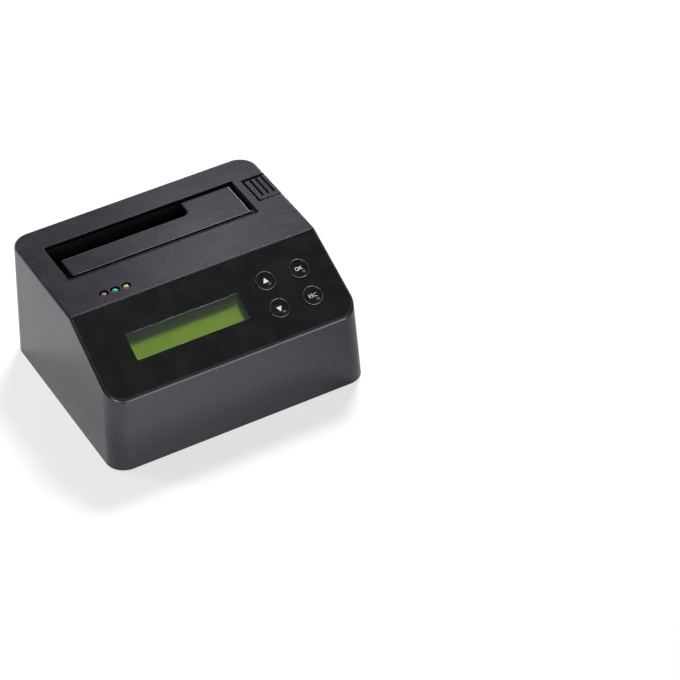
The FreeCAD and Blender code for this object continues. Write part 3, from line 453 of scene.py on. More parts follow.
def turned(name, profile, steps=48):
    """Spin a profile of radius and height pairs about the upright."""
    piece = add(name, bpy.ops.mesh.primitive_plane_add, size=MM, location=(0, 0, 0))
    with editing(piece):
        bpy.ops.mesh.merge(type="CENTER")
        bpy.ops.transform.translate(value=(profile[0][0], 0, profile[0][1]))
        for before, after in zip(profile, profile[1:]):
            move = (after[0] - before[0], 0, after[1] - before[1])
            bpy.ops.mesh.extrude_vertices_move(TRANSFORM_OT_translate={"value": move})
        bpy.ops.mesh.select_all(action="SELECT")
        bpy.ops.mesh.spin(steps=steps, angle=2 * math.pi, center=(0, 0, 0), axis=(0, 0, 1))
        bpy.ops.mesh.select_all(action="SELECT")
        bpy.ops.mesh.remove_doubles(threshold=NEAR)
        bpy.ops.mesh.normals_make_consistent(inside=False)
    return piece


def arc(centre, radius, start, end, steps):
    """Profile points along an arc, with angles in degrees."""
    angles = [math.radians(start + (end - start) * i / steps) for i in range(steps + 1)]
    return [(centre[0] + radius * math.cos(a), centre[1] + radius * math.sin(a)) for a in angles]


def fit(piece, body, finish, slot, *nodes):
    """Give a finished piece its material and its body, and hide the nodes that it stands for. The slot is not
    used.
    """
    piece.data.materials.clear()
    piece.data.materials.append(finish)
    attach(piece, body)
    if nodes:
        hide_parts(*nodes)
    return piece


# The dock's main form
def front_edge():
    s = sizes()
    return Vector((0, shell_low.y + (s.front_height - shell_low.z) * math.tan(s.end_draft), s.front_height))


def panel_frame():
    """The sloped face: X across, Y up the slope and Z outwards."""
    return Matrix.Translation(front_edge()) @ Matrix.Rotation(slope_angle, 4, "X")


def on_panel(x, up, out):
    return panel_frame() @ Vector((x, up, out))


def slope_length():
    return (shell_high.z - sizes().front_height) / math.sin(slope_angle)


def panel_recess():
    return sizes().panel_sink + sizes().panel_thickness


def slot_left():
    return pin_low.x + sizes().well_wall


def slot_front():
    return flap_low.y - sizes().barrel_gap


def half_spread(inset, height):
    """Half the width and half the depth between the drafted sides at a height."""
    s = sizes()
    rise = height - shell_low.z
    return (shell_high.x - rise * math.tan(s.side_draft) - inset / math.cos(s.side_draft),
            shell_high.y - rise * math.tan(s.end_draft) - inset / math.cos(s.end_draft))


def drafted_block(name, inset, low, high, segments=12):
    """The four drafted sides with their round corners, drawn in by an inset."""
    x, y = half_spread(inset, low)
    top_x, top_y = half_spread(inset, high)
    piece = block(name, (-x, -y, low), (x, y, high))
    with editing(piece, "FACE", faces_up):
        bpy.ops.transform.resize(value=(top_x / x, top_y / y, 1), center_override=(0, 0, high))
    return round_edges(piece, runs(Z, (high - low) / 2), sizes().corner_radius - inset, segments)


def wedge(name, inset, low, top_inset, slope_inset):
    """The drafted sides under the flat top and the sloped face."""
    piece = drafted_block(name, inset, low, shell_high.z - top_inset)
    return slice_off(piece, on_panel(0, 0, -slope_inset), slope_out)


def is_top(face):
    return face.normal.z > IN_PLANE


def is_slope(face):
    return face.normal.dot(slope_out) > IN_PLANE


def is_lid(face):
    return is_top(face) or is_slope(face)


def outer_form(name):
    """The wedge with its rim rounded."""
    piece = wedge(name, 0, shell_low.z, 0, 0)
    return round_edges(piece, borders(is_lid), sizes().edge_round, 5)


def panel_layer(name, low, high, gap):
    """A layer along the sloped face between two depths, inside the front panel's outline."""
    s = sizes()
    piece = drafted_block(name, s.panel_rim + gap, 0, 2 * shell_high.z)
    slice_off(piece, on_panel(0, 0, low), -slope_out)
    slice_off(piece, on_panel(0, 0, high), slope_out)
    reach = slope_length() - s.crease_rim - gap
    return slice_off(piece, on_panel(0, reach, 0), panel_frame().to_3x3() @ BACK)


def opening(name, x, up, width, height, low, high, corner, lip):
    """A cutter for a rounded rectangle, with its mouth flared."""
    piece = block(name, (x - width / 2, up - height / 2, low), (x + width / 2, up + height / 2, high - lip))
    if corner:
        round_edges(piece, runs(Z, (high - low) / 4), corner, 4)
    return flare(piece, lip)


def round_opening(name, x, up, diameter, low, high, lip):
    """A cutter for a round hole, with its mouth flared."""
    return flare(rod(name, diameter, (x, up, low), (x, up, high - lip)), lip)


def key_place(name):
    """Where a key is on the sloped face."""
    return panel_frame().inverted() @ middle_of("plunger_" + name)


def eject_space(gap, depth):
    """The eject button's place in the top and the right side, drawn in by a gap."""
    s = sizes()
    beside, above = 2 * MM, 5 * MM
    x0 = slot_left() + s.slot_width + s.eject_from_slot
    y0 = slot_front() + s.eject_from_front
    return (Vector((x0 + gap, y0 + gap, shell_high.z - depth)),
            Vector((shell_high.x + beside, y0 + s.eject_depth - gap, shell_high.z + above)))


# Shared shading
def plug(tree, node, **sockets):
    """Set each named input of a node to a value, or link it to an output. i0, i1 and so on go by place."""
    for name, value in sockets.items():
        by_place = name[0] == "i" and name[1:].isdigit()
        socket = node.inputs[int(name[1:]) if by_place else name.replace("_", " ")]
        if isinstance(value, bpy.types.NodeSocket):
            tree.links.new(value, socket)
        else:
            socket.default_value = value
    return node


def add_node(tree, kind, settings=None, **sockets):
    """Add a node with these settings and inputs."""
    node = tree.nodes.new("ShaderNode" + kind)
    for name, value in (settings or {}).items():
        setattr(node, name, value)
    return plug(tree, node, **sockets)


def maths(tree, operation, a, b=0.0, c=0.0):
    return add_node(tree, "Math", {"operation": operation}, i0=a, i1=b, i2=c).outputs[0]


def product(tree, *values):
    total = values[0]
    for value in values[1:]:
        total = maths(tree, "MULTIPLY", total, value)
    return total


def spread(tree, value, low, high, to_low=0.0, to_high=1.0):
    """Map a value from one range to another, and hold it there."""
    return add_node(tree, "MapRange", None, Value=value, From_Min=low, From_Max=high,
                    To_Min=to_low, To_Max=to_high).outputs[0]


def blend_colour(tree, factor, a, b):
    return add_node(tree, "Mix", {"data_type": "RGBA"}, i0=factor, i6=a, i7=b).outputs[2]


def noise(tree, vector, scale, detail=2.0, roughness=0.5):
    return add_node(tree, "TexNoise", None, Vector=vector, Scale=scale, Detail=detail,
                    Roughness=roughness).outputs[0]


def piece_place(tree):
    """The place on a piece, in its own coordinates."""
    return add_node(tree, "TexCoord").outputs["Object"]


def axes(tree, vector):
    return add_node(tree, "SeparateXYZ", None, Vector=vector).outputs


def agreement(tree, a, b):
    """How well two directions agree."""
    return add_node(tree, "VectorMath", {"operation": "DOT_PRODUCT"}, i0=a, i1=b).outputs["Value"]


def bump(tree, height, strength, distance):
    return add_node(tree, "Bump", None, Strength=strength, Distance=distance, Height=height).outputs[0]


def shaded(tint, amount=1.0):
    return (*[part * amount for part in tint], 1.0)


def open_group(group, inputs, outputs):
    """Give a node group its sockets, and return what comes in and what goes out."""
    for label, default in inputs.items():
        socket = group.interface.new_socket(name=label, in_out="INPUT", socket_type="NodeSocketFloat")
        socket.default_value = default
    for label in outputs:
        group.interface.new_socket(name=label, in_out="OUTPUT", socket_type="NodeSocketFloat")
    return group.nodes.new("NodeGroupInput").outputs, group.nodes.new("NodeGroupOutput")


def moulded_grain(group):
    """Fine spark-eroded grain of a moulding, with slow changes of tone."""
    given, result = open_group(group, {"Scale": 2600.0}, ("Height", "Mottle", "Cloud"))
    place = piece_place(group)
    fine = noise(group, place, given["Scale"], 3.0, 0.6)
    pits = add_node(group, "TexVoronoi", {"feature": "SMOOTH_F1"}, Vector=place, Scale=given["Scale"],
                    Smoothness=0.6).outputs["Distance"]
    coarse = maths(group, "MULTIPLY", given["Scale"], 0.32)
    plug(group, result, Height=maths(group, "ADD", fine, maths(group, "MULTIPLY", pits, 0.6)),
         Mottle=noise(group, place, coarse, 4.0, 0.7), Cloud=noise(group, place, 34.0, 3.0, 0.55))


def edge_rub_and_highlight(group):
    """Worn and burnished edges, broken up by noise. Their lighter colour is partly wear and partly a painted
    highlight along the edges.
    """
    given, result = open_group(group, {"Radius": 0.0004, "Amount": 0.5}, ("Mask",))
    soft = add_node(group, "Bevel", {"samples": 4}, Radius=given["Radius"]).outputs["Normal"]
    true = add_node(group, "NewGeometry").outputs["Normal"]
    edge = spread(group, agreement(group, soft, true), 0.995, 0.86)
    broken = spread(group, noise(group, piece_place(group), 420.0, 4.0, 0.6), 0.35, 0.65, 0.35, 1.0)
    plug(group, result, Mask=product(group, edge, broken, given["Amount"]))


def settled_dust(group):
    """Thin dust and a few specks on what faces up."""
    given, result = open_group(group, {"Amount": 0.1, "Specks": 260.0}, ("Mask",))
    facing = axes(group, add_node(group, "NewGeometry").outputs["Normal"])["Z"]
    place = piece_place(group)
    film = spread(group, noise(group, place, 90.0, 5.0, 0.65), 0.42, 0.75, 0.0, 0.6)
    grains = add_node(group, "TexVoronoi", None, Vector=place, Scale=given["Specks"]).outputs["Distance"]
    layer = maths(group, "ADD", film, spread(group, grains, 0.10, 0.04))
    plug(group, result, Mask=product(group, layer, spread(group, facing, 0.25, 0.9), given["Amount"]))


def handling(group):
    """Faint smears that change a surface's gloss."""
    given, result = open_group(group, {"Scale": 40.0}, ("Smear",))
    stretched = add_node(group, "Mapping", None, Vector=piece_place(group), Rotation=(0.3, 0.2, 0.7),
                         Scale=(1.0, 2.6, 1.4)).outputs[0]
    broad = noise(group, stretched, given["Scale"], 5.0, 0.6)
    fine = noise(group, stretched, maths(group, "MULTIPLY", given["Scale"], 14.0), 2.0, 0.5)
    both = maths(group, "ADD", maths(group, "MULTIPLY", broad, 0.75), maths(group, "MULTIPLY", fine, 0.25))
    plug(group, result, Smear=spread(group, both, 0.35, 0.7))


def use(tree, build, **values):
    """Place a shared node group, which is built the first time that it is asked for."""
    label = build.__name__.replace("_", " ")
    group = bpy.data.node_groups.get(label)
    if group is None:
        group = bpy.data.node_groups.new(label, "ShaderNodeTree")
        build(group)
    return add_node(tree, "Group", {"node_tree": group}, **values).outputs


def made_once(build):
    """Make a finish the first time that its name is asked for, and hand out the same one after that."""
    def ask(name, *values, **more):
        finish = bpy.data.materials.get("dock_" + name)
        if finish is None:
            finish = bpy.data.materials.new("dock_" + name)
            finish.use_nodes = True
            tree = finish.node_tree
            build(tree, tree.nodes["Principled BSDF"], *values, **more)
        return finish
    return ask


@made_once
def moulded(tree, shader, tint, roughness, grain=2600.0, wear=0.25, dust=0.05, relief=2e-6, specular=0.5):
    """Moulded plastic with grain, lighter edges that are partly wear and partly painted highlight, and a
    little dust.
    """
    texture = use(tree, moulded_grain, Scale=grain)
    smear = use(tree, handling, Scale=26.0)["Smear"]
    cloud = spread(tree, texture["Cloud"], 0.3, 0.7)
    toned = blend_colour(tree, cloud, shaded(tint, 0.93), shaded(tint, 1.07))
    mottle = spread(tree, texture["Mottle"], 0.35, 0.68, 0.0, 0.18)
    grained = blend_colour(tree, mottle, toned, shaded(tint, 1.75))
    # Lighter edges: partly wear, partly painted highlight along the edges
    edges = use(tree, edge_rub_and_highlight, Amount=wear, Radius=0.0004)["Mask"]
    rubbed_and_highlit = blend_colour(tree, edges, grained, shaded([0.06 + part * 1.6 for part in tint]))
    film = use(tree, settled_dust, Amount=dust)["Mask"]
    rough = maths(tree, "ADD", spread(tree, texture["Mottle"], 0.3, 0.7, roughness - 0.02, roughness + 0.02),
                  spread(tree, smear, 0.0, 1.0, -0.03, 0.03))
    burnished = maths(tree, "SUBTRACT", rough, maths(tree, "MULTIPLY", edges, 0.12))
    plug(tree, shader, Base_Color=blend_colour(tree, film, rubbed_and_highlit, (0.30, 0.29, 0.28, 1.0)),
         Roughness=burnished, Normal=bump(tree, texture["Height"], 0.5, relief),
         Specular_IOR_Level=specular, Specular_Tint=(0.93, 0.85, 1.0, 1.0))


@made_once
def gloss(tree, shader, tint, roughness=0.07, wear=0.15):
    """Polished plastic with faint smears and specks."""
    texture = use(tree, moulded_grain, Scale=900.0)
    smear = use(tree, handling, Scale=30.0)["Smear"]
    toned = blend_colour(tree, texture["Cloud"], shaded(tint, 0.85), shaded(tint, 1.15))
    # Lighter edges: partly wear, partly painted highlight along the edges
    edges = use(tree, edge_rub_and_highlight, Amount=wear, Radius=0.0002)["Mask"]
    rubbed_and_highlit = blend_colour(tree, edges, toned, (0.12 + tint[0], 0.13 + tint[1], 0.15 + tint[2], 1.0))
    film = use(tree, settled_dust, Amount=0.05, Specks=420.0)["Mask"]
    plug(tree, shader, Base_Color=blend_colour(tree, film, rubbed_and_highlit, (0.32, 0.31, 0.30, 1.0)),
         Roughness=spread(tree, smear, 0.0, 1.0, roughness, roughness + 0.07),
         Normal=bump(tree, texture["Cloud"], 0.15, 4e-6))


@made_once
def metal(tree, shader, tint, roughness=0.3):
    """Plated or drawn metal with fine lines and tarnish."""
    drawn = add_node(tree, "Mapping", None, Vector=piece_place(tree), Scale=(1.0, 0.08, 1.0)).outputs[0]
    lines = noise(tree, drawn, 900.0, 3.0, 0.6)
    texture = use(tree, moulded_grain, Scale=1500.0)
    toned = blend_colour(tree, spread(tree, texture["Cloud"], 0.3, 0.7), shaded(tint, 0.78), shaded(tint))
    # Lighter edges: partly wear, partly painted highlight along the edges
    edges = use(tree, edge_rub_and_highlight, Amount=0.2, Radius=0.00015)["Mask"]
    plug(tree, shader, Base_Color=blend_colour(tree, edges, toned, shaded([min(1, c * 1.2) for c in tint])),
         Roughness=spread(tree, lines, 0.3, 0.7, roughness - 0.08, roughness + 0.12),
         Normal=bump(tree, lines, 0.2, 5e-6), Metallic=1.0)


@made_once
def printed(tree, shader, tint):
    """Screen-printed ink, slightly uneven."""
    texture = use(tree, moulded_grain, Scale=3200.0)
    uneven = spread(tree, texture["Mottle"], 0.3, 0.7)
    plug(tree, shader, Base_Color=blend_colour(tree, uneven, shaded(tint, 0.86), shaded(tint)),
         Roughness=spread(tree, texture["Cloud"], 0.3, 0.7, 0.42, 0.55),
         Normal=bump(tree, texture["Height"], 0.3, 6e-6))


@made_once
def clear_plastic(tree, shader):
    """Clear plastic that lets light through to the display."""
    tint = (0.93, 0.95, 0.96, 1.0)
    smear = use(tree, handling, Scale=36.0)["Smear"]
    specks = use(tree, settled_dust, Amount=0.12, Specks=420.0)["Mask"]
    plug(tree, shader, Base_Color=blend_colour(tree, specks, tint, (0.6, 0.6, 0.58, 1.0)),
         Roughness=spread(tree, smear, 0.0, 1.0, 0.02, 0.07), Transmission_Weight=1.0, IOR=1.49,
         Coat_Weight=0.6, Coat_Roughness=0.12, Specular_Tint=(0.55, 0.68, 1.0, 1.0))
    passing = add_node(tree, "BsdfTransparent", None, Color=tint)
    rays = add_node(tree, "LightPath").outputs
    unseen = maths(tree, "MAXIMUM", rays["Is Shadow Ray"], rays["Is Diffuse Ray"])
    both = add_node(tree, "MixShader", None, i0=unseen, i1=shader.outputs[0], i2=passing.outputs[0])
    plug(tree, tree.nodes["Material Output"], Surface=both.outputs[0])


@made_once
def display_film(tree, shader, tint):
    """Unlit character display: yellow-green film with two rows of faint cells."""
    s = sizes()
    centre = on_panel(s.window_x, slope_length() / 2, -s.glass_sink)
    flat = add_node(tree, "Mapping", {"vector_type": "TEXTURE"}, Vector=piece_place(tree), Location=centre,
                    Rotation=(slope_angle, 0, 0)).outputs[0]
    place = axes(tree, flat)

    def bars(value, pitch, count, share):
        """1 inside each of a row of equal cells, 0 between and beyond them."""
        step = maths(tree, "ADD", maths(tree, "DIVIDE", value, pitch), count / 2)
        from_middle = maths(tree, "ABSOLUTE", maths(tree, "SUBTRACT", maths(tree, "FRACT", step), 0.5))
        inside = spread(tree, from_middle, share / 2, share / 2 + 0.04, 1.0, 0.0)
        in_row = maths(tree, "LESS_THAN", maths(tree, "ABSOLUTE", value), pitch * count / 2)
        return product(tree, inside, in_row)

    cells = product(tree, bars(place["X"], 3.55 * MM, 16, 0.83), bars(place["Y"], 5.95 * MM, 2, 0.93))
    dots = product(tree, bars(place["X"], 0.60 * MM, 96, 0.88), bars(place["Y"], 0.70 * MM, 17, 0.88))
    shade = product(tree, cells, spread(tree, dots, 0.0, 1.0, 0.035, 0.10))
    texture = use(tree, moulded_grain, Scale=1800.0)
    cloud = spread(tree, texture["Cloud"], 0.3, 0.7)
    toned = blend_colour(tree, cloud, shaded(tint, 0.94), shaded(tint, 1.06))
    plug(tree, shader, Base_Color=blend_colour(tree, shade, toned, shaded(tint, 0.35)),
         Roughness=spread(tree, texture["Mottle"], 0.3, 0.7, 0.30, 0.42), Specular_IOR_Level=0.2,
         Normal=bump(tree, texture["Height"], 0.2, 4e-6))


@made_once
def lamp_lens(tree, shader, tint):
    """Tinted lens of a lamp, darker towards its foot."""
    foot, tip = shell_high.z - 2.4 * MM, shell_high.z - 0.3 * MM
    rise = spread(tree, axes(tree, piece_place(tree))["Z"], foot, tip)
    texture = use(tree, moulded_grain, Scale=1200.0)
    deep = blend_colour(tree, texture["Cloud"], shaded(tint, 0.35), shaded(tint, 0.5))
    plug(tree, shader, Base_Color=blend_colour(tree, rise, deep, shaded(tint)),
         Roughness=spread(tree, texture["Mottle"], 0.3, 0.7, 0.05, 0.10), Transmission_Weight=0.25, IOR=1.5,
         Specular_IOR_Level=0.9, Coat_Weight=1.0)


@made_once
def white_floor(tree, shader):
    """Paper that keeps the dock's shadow, that the camera and glass see as white, and that the gloss sees as
    white with painted shade beside the dock.
    """
    tree.nodes.remove(shader)
    paper = add_node(tree, "BsdfDiffuse", None, Color=shaded((0.8, 0.8, 0.8)))
    faint = add_node(tree, "BsdfDiffuse", None, Color=shaded((0.28, 0.28, 0.28)))
    rays = add_node(tree, "LightPath").outputs
    # Glossy rays see the white dimmed by the painted floor shade
    painted_shade_in_gloss = product(tree, rays["Is Glossy Ray"], maths(tree, "SUBTRACT", 1.0, painted_floor_shade(tree)))
    glow = product(tree, maths(tree, "SUBTRACT", 1.0, painted_shade_in_gloss), 0.72)
    white = add_node(tree, "Emission", None, Color=shaded((1.0, 1.0, 1.0)), Strength=glow)
    seen = add_node(tree, "AddShader", None, i0=faint.outputs[0], i1=white.outputs[0])
    look = maths(tree, "MAXIMUM", maths(tree, "MAXIMUM", rays["Is Camera Ray"], rays["Is Glossy Ray"]),
                 rays["Is Transmission Ray"])
    both = add_node(tree, "MixShader", None, i0=look, i1=paper.outputs[0], i2=seen.outputs[0])
    plug(tree, tree.nodes["Material Output"], Surface=both.outputs[0])


def painted_floor_shade(tree):
    """Painted soft shade on the floor left and right of the dock and along its foot, seen only where its
    sides mirror the floor.
    """
    place = axes(tree, piece_place(tree))
    left = spread(tree, place["X"], -0.085, -0.060, 0.84, 1.0)
    across = spread(tree, place["X"], -0.020, 0.056, 1.0, 0.80)
    right = spread(tree, place["X"], 0.045, 0.085, 1.0, 0.40)
    foot = spread(tree, place["Y"], -0.066, -0.094, 0.82, 1.0)
    return product(tree, left, across, right, foot)


# Finishes that more than one step uses
def housing_plastic():
    return moulded("housing_plastic", colours().housing, 0.27, specular=0.9)


def mark_ink():
    return printed("key_print", colours().print_white)


def steel():
    return metal("steel", (0.60, 0.59, 0.57))


def spring_steel():
    return metal("spring_steel", (0.10, 0.10, 0.105), 0.4)


class DOCK_OT_housing(Operator):
    """Model the drafted housing shell with its openings"""
    bl_idname = "dock.housing"
    bl_label = "Housing"

    def execute(self, context):
        s = sizes()
        skin = panel_recess() + s.panel_skin
        shell = outer_form("housing_shell")
        round_edges(shell, lambda edge: all(map(is_lid, edge.link_faces)), s.crease_round, 2)
        cut(shell, wedge("hollow", s.wall, -MM, s.wall, skin))
        cut(shell, panel_layer("rebate", -panel_recess(), CLEAR, 0))
        into_panel = panel_frame().inverted()

        def rebate_rim(edge):
            flush = all(abs((into_panel @ vert.co).z) < NEAR for vert in edge.verts)
            return flush and any(abs(face.normal.dot(slope_out)) < 0.3 for face in edge.link_faces)

        round_edges(shell, rebate_rim, s.rebate_round, 2)
        self.open_top(shell)
        self.open_slope(shell, 2 * skin)
        self.open_rear(shell)
        smooth(shell)
        fit(shell, "dock", housing_plastic(), "housing_plastic", "upper_housing")
        return {"FINISHED"}

    def open_top(self, shell):
        """Cut the drive slot, the lamps' holes and the eject button's notch."""
        s = sizes()
        top = shell_high.z
        through = 2 * s.wall
        slot_x, slot_y = slot_left() + s.slot_width / 2, slot_front() + s.slot_depth / 2
        cut(shell, opening("slot", slot_x, slot_y, s.slot_width, s.slot_depth, top - through, top,
                           s.slot_corner, s.lip))
        radius = s.lamp_hole / 2
        rim = radius + s.lamp_sink_width
        above = rim + MM * s.lamp_sink_width / s.lamp_sink_depth
        profile = [(0, -through), (radius, -through), (radius, -s.lamp_sink_depth), (rim, 0), (above, MM),
                   (0, MM)]
        for name in lamp_names:
            place = middle_of("led_" + name)
            cut(shell, settle(turned("lamp_hole", profile), Matrix.Translation((place.x, place.y, top))))
        low, high = eject_space(0, s.eject_lip + eject_travel + s.moving_gap)
        middle, size = (low + high) / 2, high - low
        cut(shell, opening("eject_notch", middle.x, middle.y, size.x, size.y, low.z, top, 0, s.lip))

    def open_slope(self, shell, through):
        """Cut the hole behind the window and the holes behind the keys."""
        s = sizes()
        middle = Vector((s.window_x, slope_length() / 2, 0))
        half = Vector((s.window_width / 2 + s.window_ledge, s.window_height / 2 + s.window_ledge, 0))
        cut(shell, settle(block("view", middle - half - UP * through, middle + half), panel_frame()))
        for name in key_names:
            place = key_place(name)
            mouth = Vector((place.x, place.y, 0))
            hole = rod("key_hole", s.key_diameter + 2 * s.moving_gap, mouth - UP * through, mouth)
            cut(shell, settle(hole, panel_frame()))

    def open_rear(self, shell):
        """Cut the holes for the sockets and the switch."""
        s = sizes()
        in_rim = s.part_fit - s.switch_rim
        for node, grow in (("usb_shell", s.part_fit), ("dc_jack", s.part_fit), ("switch_frame", in_rim)):
            low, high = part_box(node)
            low = Vector((low.x - grow, shell_high.y - 3 * s.wall, low.z - grow))
            cut(shell, block("rear_hole", low, (high.x + grow, shell_high.y + MM, high.z + grow)))


class DOCK_OT_fascia(Operator):
    """Model the gloss front panel with its window and key openings"""
    bl_idname = "dock.fascia"
    bl_label = "Front panel"

    def execute(self, context):
        s = sizes()
        low, high = -2 * panel_recess(), -s.panel_sink
        fascia = panel_layer("fascia", -panel_recess(), high, s.part_fit)
        round_edges(fascia, borders(is_slope), s.panel_round)
        holes = [opening("window", s.window_x, slope_length() / 2, s.window_width, s.window_height, low, high,
                         s.window_corner, s.panel_lip)]
        for place in map(key_place, key_names):
            diameter = s.key_diameter + 2 * s.key_gap
            holes.append(round_opening("hole", place.x, place.y, diameter, low, high, s.panel_lip))
        for hole in holes:
            cut(fascia, settle(hole, panel_frame()))
        smooth(fascia)
        # Strongly lighter edges round the panel's openings: partly wear, partly painted highlight
        fit(fascia, "dock", gloss("panel_gloss", colours().panel, wear=0.6), "panel_gloss", "front_panel")
        return {"FINISHED"}


class DOCK_OT_display(Operator):
    """Model the clear window and the display behind it"""
    bl_idname = "dock.display"
    bl_label = "Display"

    def execute(self, context):
        s = sizes()
        width, height = s.window_width - 2 * s.seat_gap, s.window_height - 2 * s.seat_gap
        window = self.pane("display_window", width, height, panel_recess(), s.panel_sink)
        round_edges(window, runs(Z, s.panel_thickness / 2), s.window_corner - s.seat_gap, 4)
        self.dress(window, s.panel_sink, 0.15 * MM)
        fit(window, "dock", clear_plastic("clear_window"), "window_clear", "lcd_window")
        glass_back = s.glass_sink + s.glass_thickness
        glass = self.pane("display_glass", s.glass_width, s.glass_height, glass_back, s.glass_sink)
        self.dress(glass, s.glass_sink, 0.2 * MM)
        fit(glass, "dock", display_film("display_face", colours().display), "lcd_green", "lcd_glass")
        return {"FINISHED"}

    def pane(self, name, width, height, low, high):
        """A pane between two depths below the sloped face."""
        centre = Vector((sizes().window_x, slope_length() / 2, 0))
        half = Vector((width / 2, height / 2, 0))
        return block(name, centre - half - UP * low, centre + half - UP * high)

    def dress(self, pane, depth, radius):
        """Round a pane's outer edges and lay it along the sloped face."""
        round_edges(pane, lies_past(Z, -depth), radius, 2)
        smooth(settle(pane, panel_frame()))


class DOCK_OT_keys(Operator):
    """Model the four dished keys, their rims and their printed marks"""
    bl_idname = "dock.keys"
    bl_label = "Keys"

    def execute(self, context):
        s = sizes()
        radius = s.key_diameter / 2
        top = s.key_proud - s.panel_sink
        bead = s.key_rim / 2
        cap = self.cap(radius, top)
        # The rim bead's pale satin colour stands in partly for the highlight along each key's edge
        rim = turned("key_rim", arc((radius - bead, top - bead), bead, -180, 180, 12), 64)
        marks = {"up": self.arrow(0), "down": self.arrow(math.pi),
                 "ok": self.word("OK", s.ok_size), "esc": self.word("ESC", s.esc_size)}
        key_black = gloss("key_black", colours().panel, wear=0.3)
        rim_satin = metal("rim_satin", colours().key_rim, 0.35)
        for name in key_names:
            place = key_place(name)
            lift = panel_frame() @ Matrix.Translation((place.x, place.y, 0))
            key = smooth(copy_of(cap, "key_cap_" + name, lift))
            fit(key, name + "_key", key_black, "key_black", "key_" + name)
            mark = settle(self.lay_on(named(marks[name], "key_mark_" + name), cap), lift)
            fit(mark, name + "_key", mark_ink(), "key_black")
            edge = smooth(copy_of(rim, "key_rim_" + name, lift), 40)
            fit(edge, name + "_key", rim_satin, "key_black")
        bpy.data.objects.remove(cap)
        bpy.data.objects.remove(rim)
        return {"FINISHED"}

    def cap(self, radius, top):
        """A key from its stem and flange up to its dished top."""
        s = sizes()
        flange_top = -(panel_recess() + s.panel_skin) - s.seat_gap
        flange_low = flange_top - s.key_flange
        stem_low = flange_low - s.key_stem_length
        flange, stem, inner = radius + s.key_flange_rim, s.key_stem / 2, radius - s.key_rim
        rim_low, dish_edge = top - s.key_rim, top - s.key_step
        profile = [(0, stem_low), (stem, stem_low), (stem, flange_low), (flange, flange_low),
                   (flange, flange_top), (radius, flange_top), (radius, rim_low), (inner, rim_low),
                   (inner, dish_edge)]
        rings = 10
        for ring in range(rings + 1):
            share = 1 - ring / rings
            profile.append((inner * share, dish_edge - s.key_dish * (1 - share * share)))
        return turned("key_cap", profile, 64)

    def arrow(self, turn):
        mark = add("arrow", bpy.ops.mesh.primitive_circle_add, vertices=3, radius=sizes().arrow_size,
                   fill_type="NGON", location=(0, 0, MM), rotation=(0, 0, turn))
        with editing(mark):
            bpy.ops.mesh.quads_convert_to_tris()
            for _ in range(3):
                bpy.ops.mesh.subdivide()
        return mark

    def word(self, letters, size):
        bpy.ops.object.select_all(action="DESELECT")
        bpy.ops.object.text_add(location=(0, 0, MM))
        text = bpy.context.active_object.data
        text.body = letters
        text.size = size
        text.align_x = text.align_y = "CENTER"
        bpy.ops.object.convert(target="MESH")
        return settle(bpy.context.active_object)

    def lay_on(self, mark, cap):
        """Wrap a flat mark into the key's dish and give it the ink's thickness."""
        apply(mark, "SHRINKWRAP", target=cap, wrap_method="PROJECT", use_project_z=True,
              use_negative_direction=True, use_positive_direction=False, offset=0.008 * MM)
        return apply(mark, "SOLIDIFY", thickness=0.02 * MM, offset=1)


class DOCK_OT_lamps(Operator):
    """Model the three domed indicator lamps"""
    bl_idname = "dock.lamps"
    bl_label = "Indicator lamps"

    def execute(self, context):
        s = sizes()
        radius, foot, foot_top = s.lamp_diameter / 2, s.lamp_foot / 2, s.lamp_foot_height
        chamfer, squash = 0.1 * MM, 0.6
        tints = {"red": colours().lamp_red, "green": colours().lamp_green, "yellow": colours().lamp_yellow}
        for name in lamp_names:
            low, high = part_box("led_" + name)
            shoulder = high.z - low.z - s.lamp_dome
            profile = [(0, 0), (foot, 0), (foot, foot_top - chamfer), (foot - chamfer, foot_top),
                       (radius, foot_top)]
            dome = arc((0, shoulder), radius, 0, 90, 12)
            profile += [(x, shoulder + (y - shoulder) * squash) for x, y in dome]
            profile[-1] = (0, profile[-1][1])
            lamp = turned("lamp_" + name, profile, 40)
            settle(lamp, Matrix.Translation(((low.x + high.x) / 2, (low.y + high.y) / 2, low.z)))
            smooth(lamp, 40)
            fit(lamp, "dock", lamp_lens("lens_" + name, tints[name]), "lens_" + name, "led_" + name)
        return {"FINISHED"}


